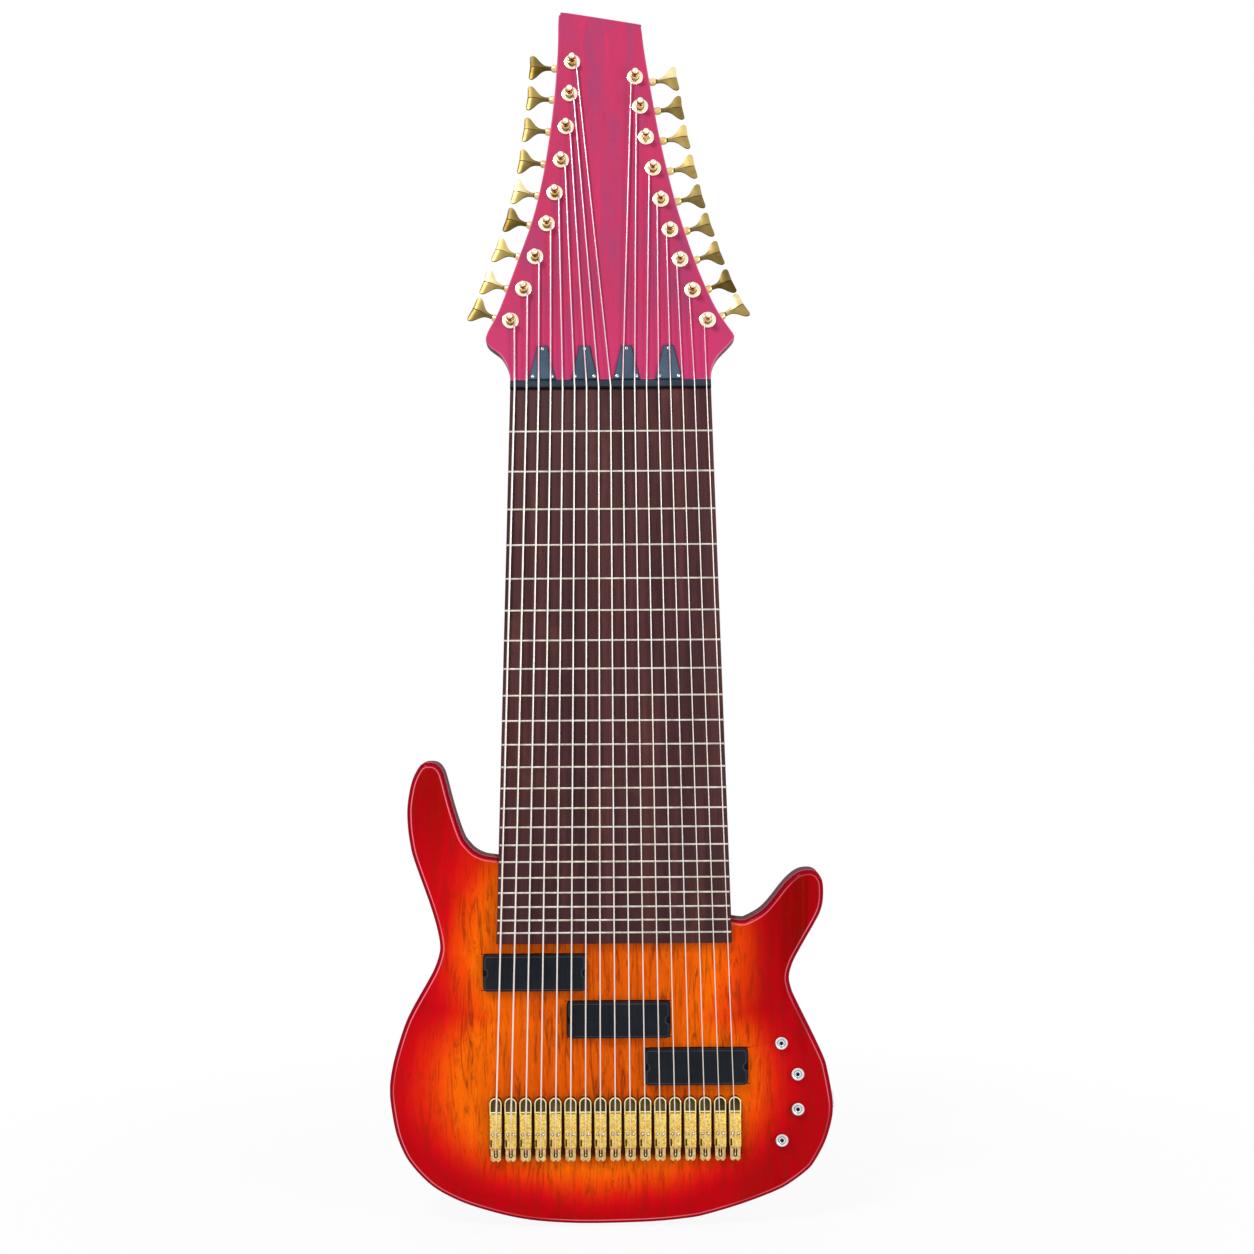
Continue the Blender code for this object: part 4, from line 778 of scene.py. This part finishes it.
def string_lift(radius):
    """Where the middle of a string lies over the nut."""
    return -(FRET_HEIGHT + STRING_CLEARANCE + radius)


def wire(name, points, radius, finish, sides=10):
    """A round wire along a line of points."""
    curve = bpy.data.curves.new(name, "CURVE")
    curve.dimensions = "3D"
    curve.bevel_depth = radius
    curve.bevel_resolution = (sides - 4) // 2
    curve.use_fill_caps = True
    line = curve.splines.new("POLY")
    line.points.add(len(points) - 1)
    for point, place in zip(line.points, points):
        point.co = (*place, 1.0)
    holder = new_object("line", curve)
    graph = bpy.context.evaluated_depsgraph_get()
    mesh = bpy.data.meshes.new_from_object(holder.evaluated_get(graph))
    bpy.data.curves.remove(curve)
    bm = bmesh.new()
    bm.from_mesh(mesh)
    bpy.data.meshes.remove(mesh)
    keep(name, tidied(bm), (finish,), slot="string_steel", angle=60.0)


def post_windings(index, start):
    """Where a string touches its post, and its turns round it, from the lowest up into the post."""
    tuner = string_tuner(index)
    radius = string_radius(index)
    side = 1.0 if tuner.startswith("bass") else -1.0
    centre = HEAD_BACK @ PLACES[f"tuner_post_{tuner}_turn"][0]
    reach = POST_REACH + radius
    start = HEAD_BACK @ start
    away = centre - start
    heading = math.atan2(away.y, away.x) - side * math.asin(reach / away.xy.length)
    first = heading - side * math.pi / 2
    low = WINDINGS_FROM + radius
    rise = 2.04 * radius
    turns = (WINDINGS_HEIGHT - 2 * radius) / rise + 0.6
    steps = round(turns * STEPS_A_TURN)
    line = []
    for step in range(steps + 1):
        angle = first + side * turns * 2 * math.pi * step / steps
        height = low + rise * turns * step / steps
        line.append((centre.x + reach * math.cos(angle), centre.y + reach * math.sin(angle), height))
    angle += side * 0.5
    line.append((centre.x + 2.0 * MM * math.cos(angle), centre.y + 2.0 * MM * math.sin(angle), height))
    return [HEAD @ Vector(point) for point in line]


def make_strings():
    """Each string from its ball end over the saddle and the nut to its post, and its turns there."""
    for index in range(STRING_COUNT):
        radius = string_radius(index)
        name = f"string_{index + 1:02d}"
        saddle_x = string_x(index, -SCALE_LENGTH)
        crest = BODY_FACE - BRIDGE_LIFT - (SADDLE_CREST - SADDLE_DIP) * MM - radius
        lift = string_lift(radius)
        nut_x = string_x(index, 0.0)
        behind_nut = Vector((nut_x, lift, 3.4 * MM))
        windings = post_windings(index, behind_nut)
        route = [
            (saddle_x, BODY_FACE - 8.2 * MM, -SCALE_LENGTH - 10.5 * MM),
            (saddle_x, BODY_FACE - 13.0 * MM, -SCALE_LENGTH - 4.6 * MM),
            (saddle_x, crest + 0.5 * MM, -SCALE_LENGTH - 1.6 * MM),
            (saddle_x, crest, -SCALE_LENGTH),
            (nut_x, lift, 0.4 * MM), behind_nut, windings[0],
        ]
        wire(name, route, radius, NICKEL)
        wire(name + "_windings", windings, radius, COIL_GOLD, 8)


def make_nut():
    """A slate nut with a slot for each string, its front strip painted black as the shade and shadow at its
    foot.
    """
    shade_strip = 2.6
    profile = ((6.5, 0.3), (-1.9, 0.3), (-2.9, 1.0), (-2.9, shade_strip), (-2.9, 3.7), (1.1, 10.0), (6.5, 10.0))
    slots = bmesh.new()
    play = 0.12 * MM
    for index in range(STRING_COUNT):
        radius = string_radius(index)
        place = Matrix.Translation((string_x(index, 0.0), string_lift(radius), 3.0 * MM))
        bmesh.ops.create_cone(slots, cap_ends=True, segments=12, radius1=radius + play, radius2=radius + play,
                              depth=9 * MM, matrix=place)
    nut = carved(drawn_across(profile, NUT_HALF), slots)
    # painted shade: the front strip of the nut is black
    for face in nut.faces:
        face.material_index = 1 if face.calc_center_median().z / MM < shade_strip + 0.05 else 0
    keep("nut", nut, (NUT_SLATE, JET), slot="black_plastic", angle=30.0)


# The recess, the black of the anchor and the tray's side are painted shade
BRIDGE_FINISHES = (BRIDGE_GOLD, RECESS_SHADE, TAIL_GOLD, TRAY_RIM, JET, TRAY_SIDE_SHADE, SCREW_STEEL)
HAMMERED, SUNK_SHADE, TAIL, RIM, ANCHOR_SHADE, OUTER_WALL_SHADE, SCREW = range(7)
BRIDGE_HALF = 7.0
BRIDGE_NOSE = 47.2
WINDOW_HALF = 5.6
TRAY_TOP = 9.0
HEIGHT_SCREWS = (moved(-3.2, 13.2), moved(3.2, 13.2))


def tail_corner(first, second):
    """A rule for softened: the upright edges at the tail end of the saddle block."""
    return max(first.y, second.y) < -4.0 and abs(first.x - second.x) < 0.1


def bridge_shape():
    """One single-string bridge: a round-nosed tray with its window, the saddle block and the anchor. The
    window, holes, slots and anchor are painted dark as shade, and so are the tray's outer walls, which
    darkens the gaps between bridges.
    """
    waist = BRIDGE_HALF - 1.0
    right = [(waist - 2.4, -19.0), (waist, -16.6), (waist, -4.0), (waist + 0.5, -1.9), (BRIDGE_HALF, 0.0)]
    nose = arc((0.0, BRIDGE_NOSE), BRIDGE_HALF, 0.0, 180.0, 20)
    tray = plate(right + nose + [(-x, along) for x, along in right[::-1]], 0.0, TRAY_TOP)
    tray = softened(tray, 0.5, at_level(TRAY_TOP), 2)
    window = arc((0.0, BRIDGE_NOSE), WINDOW_HALF, 0.0, 180.0, 20)
    tray = carved(tray, plate([(WINDOW_HALF, 34.0), *window, (-WINDOW_HALF, 34.0)], 3.0, 12.0))
    block = drawn_across(((36.2, 2.5), (36.2, 13.0), (0.0, SADDLE_CREST), (-2.0, SADDLE_CREST), (-4.4, 12.2),
                          (-5.0, 2.5)), 6.55)
    block = softened(block, 2.2, tail_corner, 1)
    block = softened(block, 0.7, lambda first, second: min(first.z, second.z) > 12.5, 2)
    side_slot = arc((-4.9, 6.8), 0.95, 0.0, 180.0, 8) + arc((-4.9, 0.2), 0.95, 180.0, 360.0, 8)
    block = carved(block, plate(side_slot, 11.0, 17.0))
    for place in HEIGHT_SCREWS:
        socket = turned(((0.0, 12.6), (1.8, 12.6), (1.8, 17.0), (0.0, 17.0)), 16)
        socket.transform(place)
        block = carved(block, socket)
    anchor = arc((0.0, -12.2), 2.3, 180.0, 360.0, 10) + [(2.3, -5.4), (-2.3, -5.4)]
    fixing_hole = arc((0.0, -19.2), 1.9, 0.0, 360.0, 16)[:-1]
    whole = carved(tray, block, HAMMERED, "UNION")
    whole = carved(whole, plate(anchor, 6.6, 17.0), ANCHOR_SHADE)
    whole = carved(whole, plate(fixing_hole, 4.0, 12.0), SUNK_SHADE)
    for face in whole.faces:
        middle = face.calc_center_median() / MM
        if face.material_index in (SUNK_SHADE, ANCHOR_SHADE):
            continue
        # painted shade: the tray's upright outer walls
        if middle.z < TRAY_TOP - 0.6 and abs(face.normal.z) < 0.5:
            face.material_index = OUTER_WALL_SHADE
        elif middle.y < -2.2:
            face.material_index = TAIL
        elif middle.z < TRAY_TOP + 0.1:
            face.material_index = RIM
    return whole


def make_bridges():
    bridge = bridge_shape()
    bar = painted(turned(((0.0, -5.9), (0.85, -5.9), (0.85, 5.9), (0.0, 5.9)), 12), RIM)
    bar_place = moved(0.0, 37.4, 8.9) @ Matrix.Rotation(math.pi / 2, 4, "Y")
    ball_end = turned(((0.0, -1.1), (0.9, -1.1), (1.1, -0.9), (1.1, 3.6), (0.9, 3.8), (0.0, 3.8)), 16)
    ball_place = moved(0.0, -9.4, 7.8) @ Matrix.Rotation(math.pi / 2, 4, "X")
    screw = turned(((0.0, 12.7), (1.25, 12.7), (1.25, 13.9), (0.8, 14.15), (0.55, 13.6), (0.0, 13.6)), 16)
    screw = painted(screw, SCREW)
    one = gathered((bridge, bar, painted(ball_end, RIM), screw, screw),
                   (UNMOVED, bar_place, ball_place, *HEIGHT_SCREWS))
    for index in range(STRING_COUNT):
        spot = (string_x(index, -SCALE_LENGTH), -SCALE_LENGTH, BRIDGE_LIFT - BODY_FACE)
        keep(f"bridge_{index + 1:02d}", one.copy(), BRIDGE_FINISHES, angle=30.0,
             replaces=("string_set",) if index == 0 else (), place=FRONT @ Matrix.Translation(spot))


# Tuning machines

# Share of the button's length, share of its half width there, and half its thickness in mm
KEY_OUTLINE = ((0.0, 0.16, 2.5), (0.12, 0.17, 2.6), (0.24, 0.2, 2.8), (0.34, 0.27, 3.0), (0.44, 0.4, 3.1),
               (0.54, 0.58, 3.2), (0.62, 0.735, 3.1), (0.7, 0.87, 3.0), (0.78, 0.96, 2.9), (0.86, 1.0, 2.6),
               (0.92, 0.985, 2.2), (0.97, 0.93, 1.7), (1.0, 0.84, 1.1))
# A quarter of the button's section, from its edge to the crease in the middle: shares of width and thickness
KEY_SECTION = ((1.0, 0.0), (0.955, 0.4), (0.5, 0.72), (0.035, 1.0), (0.0, 0.82))
KEY_HALF_WIDTH = 15.7
KEY_NECK = 26.7
KEY_BUTTON_LENGTH = 25.5
# Keys whose gold is painted lighter or darker, as highlight or shade on each
LIT_KEYS = ("bass_5", "bass_2", "treble_9", "treble_1")
WARM_LIT_KEYS = ("bass_3", "treble_7", "treble_6")
SHADED_KEYS = ("bass_9", "bass_4", "treble_2")
BEAD, LIT_UPPER, SHADED_LOWER, SHADED_EDGE = range(4)


def button_point(ring, angle):
    """A point of the clover-shaped button: creased along the middle, its end hollowed between two lobes."""
    share, width, thickness = KEY_OUTLINE[ring]
    u, v = math.cos(angle), math.sin(angle)
    across, rise = KEY_SECTION[round(math.atan2(abs(v), abs(u)) / (math.pi / 8))]
    x = math.copysign(KEY_HALF_WIDTH * width * across, u)
    y = math.copysign(thickness * rise, v)
    hollow = 2.2 * max(share - 0.5, 0.0) * (1.0 - abs(x) / KEY_HALF_WIDTH)
    return Vector((x, y, KEY_NECK + KEY_BUTTON_LENGTH * share - hollow)) * MM


def key_shape(upper_side):
    """Worm shaft, bead and button, whose upper half lies on one side of the local X: 1 or -1. The upper half
    takes a lit copy of the gold, the lower half a shaded one: painted light and shade.
    """
    button = shaped_tube(16, len(KEY_OUTLINE), button_point)
    for face in button.faces:
        # painted light and shade: upper half lit, lower half shaded, the edges and the crease a dark copy as
        # shade
        middle = face.calc_center_median() / MM
        crease = abs(middle.x) < 0.3 and middle.z > KEY_NECK + 0.36 * KEY_BUTTON_LENGTH
        if crease or abs(face.normal.x) > 0.75:
            face.material_index = SHADED_EDGE
        else:
            face.material_index = LIT_UPPER if middle.x * upper_side > 0.0 else SHADED_LOWER
    bead = turned(((0.0, 6.2), (2.6, 6.2), (2.6, 16.1), (4.0, 16.1), (4.4, 16.6), (4.6, 18.0), (4.65, 20.0),
                   (4.6, 23.0), (4.2, 24.6), (3.4, 25.6), (2.7, 26.0), (2.6, 27.4), (0.0, 27.4)), 28)
    # painted shade: the bead's end by the button takes the dark copy
    for face in bead.faces:
        if face.calc_center_median().z > 25.7 * MM:
            face.material_index = SHADED_EDGE
    return gathered((bead, button), (UNMOVED, UNMOVED))


def post_shape():
    """String post: journal, waist, and a domed head with two holes that take the string's end. The holes are
    painted black as shade, and the top of the head pale gold as a painted highlight.
    """
    post = turned(((0.0, -21.75), (4.2, -21.75), (4.2, 2.4), (4.0, 2.9), (3.3, 3.7), (3.2, 4.2), (3.2, 10.4),
                   (3.35, 11.0), (4.1, 12.1), (4.2, 12.8), (4.1, 16.2), (3.7, 17.9), (2.9, 18.9), (1.6, 19.4),
                   (0.0, 19.5)), 28)
    # the holes take the second finish, black: painted shade inside them
    for radius, height in ((1.45, 15.4), (1.2, 11.9)):
        hole = turned(((0.0, -7.0), (radius, -7.0), (radius, 7.0), (0.0, 7.0)), 16)
        hole.transform(moved(0.0, 0.0, height) @ Matrix.Rotation(math.pi / 2, 4, "X"))
        post = carved(post, hole)
    # painted highlight: the top of the head takes the pale gold
    for face in post.faces:
        if face.material_index == 0 and face.calc_center_median().z > 17.6 * MM:
            face.material_index = 2
    return post


def key_finishes(name):
    """Lit, plain or shaded copies of the gold, each with a darker copy for its lower half: painted highlight
    and shade.
    """
    if name in LIT_KEYS:
        halves = (KEY_HIGHLIGHT_PALE, KEY_GOLD)
    elif name in WARM_LIT_KEYS:
        halves = (KEY_HIGHLIGHT_WARM, KEY_GOLD)
    elif name in SHADED_KEYS:
        halves = (KEY_SHADE, KEY_DEEP_SHADE)
    else:
        halves = (KEY_GOLD, KEY_SHADE)
    return (BEAD_GOLD, *halves, KEY_EDGE_SHADE)


def make_tuners():
    keys = {"bass": key_shape(-1.0), "treble": key_shape(1.0)}
    post = post_shape()
    bushing = turned(((4.55, 0.0), (9.7, 0.0), (9.7, 1.7), (9.5, 2.3), (8.9, 2.55), (5.4, 2.65), (4.9, 2.65),
                      (4.55, 2.4)), 40, closed=True)
    for name in TUNERS:
        post_place = turning_place(f"tuner_post_{name}", UP_THE_HEAD)
        key_place = turning_place(f"tuner_key_{name}", TOWARDS_VIEWER)
        keep(f"key_{name}", keys[name.split("_")[0]].copy(), key_finishes(name), f"tuner_key_{name}",
             replaces=(f"tuner_key_{name}",), place=key_place, angle=16.0)
        keep(f"post_{name}", post.copy(), (POST_GOLD, JET, BUSHING_GOLD), f"tuner_post_{name}",
             replaces=(f"tuner_post_{name}",), place=post_place, angle=32.0)
        keep(f"bushing_{name}", bushing.copy(), (BUSHING_GOLD,), place=post_place, angle=50.0)


# Plates, screws and small parts

def screw_shape(radius, rise):
    """A domed screw head with a cross recess, which takes the second finish, black: painted shade in the
    recess.
    """
    head = turned(((0.0, 0.0), (radius, 0.0), (radius, rise * 0.35), (radius * 0.85, rise * 0.75),
                   (radius * 0.5, rise * 0.95), (0.0, rise)), 20)
    size = Matrix.Diagonal((radius * 1.1 * MM, radius * 0.22 * MM, rise * 0.8 * MM, 1.0))
    for turn in (0.0, math.pi / 2):
        blade = bmesh.new()
        place = Matrix.Rotation(turn, 4, "Z") @ moved(0.0, 0.0, rise) @ size
        bmesh.ops.create_cube(blade, size=1.0, matrix=place)
        head = carved(head, blade)
    return head


COVER_TOP = 2.5
COVER_SCREWS = (moved(-11.0, 3.4, 2.45), moved(11.0, 3.4, 2.45), moved(0.0, 36.6, 2.45))


def make_covers():
    """Tapered plates over the truss rod nuts, three screws in each."""
    side = smooth_line(((15.9, -0.4), (14.2, 5.6), (11.8, 15.6), (8.9, 27.6), (6.2, 40.6)), 5)
    outline = [(x, y) for x, y in side] + [(-x, y) for x, y in side[::-1]]
    shape = framed(softened(plate(outline, 0.3, COVER_TOP), 0.6, at_level(COVER_TOP), 3), 0.5)
    screws = gathered([screw_shape(1.9, 0.9)] * 3, COVER_SCREWS)
    for number in range(1, 5):
        node = f"truss_rod_cover_{number}"
        low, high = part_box(node)
        place = HEAD @ Matrix.Translation(((low.x + high.x) / 2, 0.0, 0.0))
        keep(f"rod_plate_{number}", shape.copy(), (SLATE, SLATE_RIM_SHADE), slot="slate_blue", replaces=(node,),
             place=place)
        keep(f"rod_plate_screws_{number}", screws.copy(), (SCREW_STEEL, JET), slot="chrome", place=place)


PICKUP_HALF = (58.8, 20.7)
PICKUP_CORNER = 5.0
PICKUP_NOTCH = 3.4


def pickup_outline(inset):
    """Round-cornered bar with a round notch in each end, drawn in by an inset."""
    half_x, half_y = PICKUP_HALF[0] - inset, PICKUP_HALF[1] - inset
    corner = PICKUP_CORNER - inset
    notch = PICKUP_NOTCH + inset
    start = math.degrees(math.acos(-inset / notch))
    right = arc((PICKUP_HALF[0], 0.0), notch, 360.0 - start, start, 16)
    top = arc((half_x - corner, half_y - corner), corner, 0.0, 90.0, 8)
    outline = right + top + [(-x, y) for x, y in top[::-1]] + [(-x, y) for x, y in right[::-1]]
    return outline + [(-x, -y) for x, y in top] + [(x, -y) for x, y in top[::-1]]


def make_pickups():
    """Soap-bar pickups with eased rims, a fine step inside the rim painted lighter as a highlight line, and a
    screw in the notch at each end.
    """
    shell = softened(plate(pickup_outline(0.0), -11.5, 8.2), 0.9, at_level(8.2), 3)
    # painted highlight: the step's ring takes the lighter grey
    line = painted(plate(pickup_outline(1.9), 7.9, 8.38), 1)
    cover = gathered((shell, line, plate(pickup_outline(2.5), 7.9, 8.5)), (UNMOVED,) * 3)
    screw = screw_shape(2.1, 1.2)
    post = turned(((0.0, 0.0), (2.9, 0.0), (2.9, 5.2), (2.5, 5.6), (0.0, 5.6)), 24)
    from_middle = PICKUP_HALF[0] - 2.6
    spots = [moved(x, 0.0, z) for z in (0.0, 5.5) for x in (-from_middle, from_middle)]
    screws = gathered((post, post, screw, screw), spots)
    for name in ("neck", "middle", "bridge"):
        low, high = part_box(f"pickup_{name}")
        middle = (low + high) / 2
        place = FRONT @ Matrix.Translation((middle.x, middle.z, -BODY_FACE))
        keep(f"pickup_cover_{name}", cover.copy(), (BLACK, RIM_HIGHLIGHT), slot="black_plastic",
             replaces=(f"pickup_{name}",), place=place)
        keep(f"pickup_screws_{name}", screws.copy(), (JET, BLACK), slot="black_plastic", place=place)


def make_knobs():
    """Domed chrome knobs: a rolled rim, a ring of the dish painted darker as shade, and a dark set screw in
    the middle.
    """
    knob = turned(((0.0, -14.0), (3.0, -14.0), (3.0, 0.5), (6.9, 0.5), (7.3, 0.8), (7.4, 1.6), (7.4, 5.2),
                   (7.2, 6.1), (6.7, 6.6), (6.1, 6.7), (5.4, 6.5), (4.7, 5.9), (4.2, 5.7), (3.8, 5.8),
                   (3.2, 6.0), (2.6, 6.05), (2.2, 5.8), (0.0, 5.8)), 40)
    for face in knob.faces:
        middle = face.calc_center_median() / MM
        # painted shade: the ring in the dish takes the darker chrome
        if middle.z > 5.5 and 3.6 < middle.xy.length < 4.75:
            face.material_index = 2
    centre = turned(((0.0, 5.6), (2.0, 5.6), (2.0, 6.2), (1.7, 6.4), (0.8, 6.4), (0.7, 6.0), (0.0, 6.0)), 20)
    knob = gathered((knob, painted(centre, 1)), (UNMOVED, UNMOVED))
    for number in range(1, 5):
        name = f"control_knob_{number}"
        keep(f"knob_{number}", knob.copy(), (CHROME, JET, CHROME_SHADE), name, "chrome", replaces=(name,),
             place=turning_place(name, Vector((0.0, 0.0, 1.0))), angle=30.0)


def make_back():
    """The plate over the controls with its screws, the sockets in the edge, and the truss rods."""
    skin("control_cover", (BLACK,), "black_plastic")
    first, second, third, last = (PLACES[f"control_knob_{number}_turn"][0] for number in range(1, 5))
    along = (second - third).normalized()
    across = Vector((along.z, 0.0, -along.x)) * 15.0 * MM
    middle = (second + third) / 2
    beyond = 9.5 * MM
    spots = (first + (first - second).normalized() * beyond, last + (last - third).normalized() * beyond,
             middle + across, middle - across)
    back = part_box("control_cover")[1].y
    outwards = Matrix.Rotation(-math.pi / 2, 4, "X")
    screws = gathered([screw_shape(2.3, 1.1)] * 4,
                      [Matrix.Translation((spot.x, back, spot.z)) @ outwards for spot in spots])
    keep("control_cover_screws", screws, (SCREW_STEEL, JET), slot="chrome")
    for node in ("jack_socket", "strap_socket_tail", "strap_socket_horn"):
        skin(node, (CHROME,), "chrome")
    for number in range(1, 5):
        skin(f"truss_rod_{number}", (SCREW_STEEL,), "rod_steel")


# Room

def make_room():
    """A pale floor that reads as white to the camera and keeps a soft shadow, and a white surround."""
    bm = bmesh.new()
    height = cad_box[0][2] - 2.0 * MM
    corners = ((-6.0, -4.0), (6.0, -4.0), (6.0, 8.0), (-6.0, 8.0))
    bm.faces.new([bm.verts.new((x, y, height)) for x, y in corners])
    floor = new_object("studio_floor", new_mesh("studio_floor", bm))
    pale = Finish("pale_floor", (255, 255, 255), 0.9)
    pale.set("Base Color", (0.9, 0.9, 0.9, 1.0))
    _, x, y, _ = pale.place()
    near = 1.0 - (x ** 2.0 + y ** 2.0).rise(0.05, 1.4)
    glow = pale.node("Emission", {}, {"Color": (1.0, 1.0, 1.0, 1.0), "Strength": 1.0})
    seen = pale.node("LightPath", {}, {}, "Is Camera Ray")
    blend = pale.node("MixShader", {}, {0: seen * (1.0 - near * 0.08), 2: glow})
    pale.tree.links.new(pale.shader.outputs[0], blend.socket.node.inputs[1])
    pale.tree.links.new(blend.socket, pale.tree.nodes["Material Output"].inputs["Surface"])
    floor.data.materials.append(pale.material)
    world = bpy.data.worlds.new("white_surround")
    bpy.context.scene.world = world
    world.use_nodes = True
    nodes = world.node_tree.nodes
    links = world.node_tree.links
    path = nodes.new("ShaderNodeLightPath")
    seen = path.outputs["Is Camera Ray"]
    for ray in ("Is Glossy Ray", "Is Transmission Ray"):
        most = nodes.new("ShaderNodeMath")
        most.operation = "MAXIMUM"
        links.new(seen, most.inputs[0])
        links.new(path.outputs[ray], most.inputs[1])
        seen = most.outputs[0]
    level = nodes.new("ShaderNodeMapRange")
    level.inputs["To Min"].default_value = 0.5
    level.inputs["To Max"].default_value = 1.0
    links.new(seen, level.inputs["Value"])
    links.new(level.outputs[0], nodes["Background"].inputs["Strength"])
    nodes["Background"].inputs["Color"].default_value = (1.0, 1.0, 1.0, 1.0)


def area_lamp(name, place, target, size, power):
    lamp = bpy.data.lights.new(name, "AREA")
    lamp.shape = "RECTANGLE"
    lamp.size, lamp.size_y = size
    lamp.energy = power
    holder = new_object(name, lamp)
    holder.location = place
    holder.rotation_euler = (Vector(target) - Vector(place)).to_track_quat("-Z", "Y").to_euler()


def make_lamps():
    middle = (0.0, 0.0, -0.3)
    area_lamp("key_softbox", (-1.1, -1.9, 1.8), middle, (0.5, 0.5), 46.0)
    area_lamp("fill_softbox", (1.9, -1.8, 0.0), middle, (0.6, 2.2), 22.0)


def make_camera():
    camera = bpy.data.cameras.new("camera")
    camera.sensor_fit = "HORIZONTAL"
    camera.sensor_width = SENSOR
    camera.lens = SENSOR * CAMERA_DISTANCE / VIEW_WIDTH
    holder = new_object("camera", camera)
    lean, level = math.sin(CAMERA_LEAN), math.cos(CAMERA_LEAN)
    holder.matrix_world = Matrix((
        (level, lean, 0.0, CAMERA_X),
        (0.0, 0.0, -1.0, -CAMERA_DISTANCE),
        (-lean, level, 0.0, CAMERA_Z),
        (0.0, 0.0, 0.0, 1.0),
    ))
    bpy.context.scene.camera = holder


make_camera()
make_room()
make_lamps()
make_wood()
make_fingerboard()
make_strings()
make_nut()
make_bridges()
make_tuners()
make_covers()
make_pickups()
make_knobs()
make_back()
bpy.context.scene.view_settings.view_transform = "Standard"
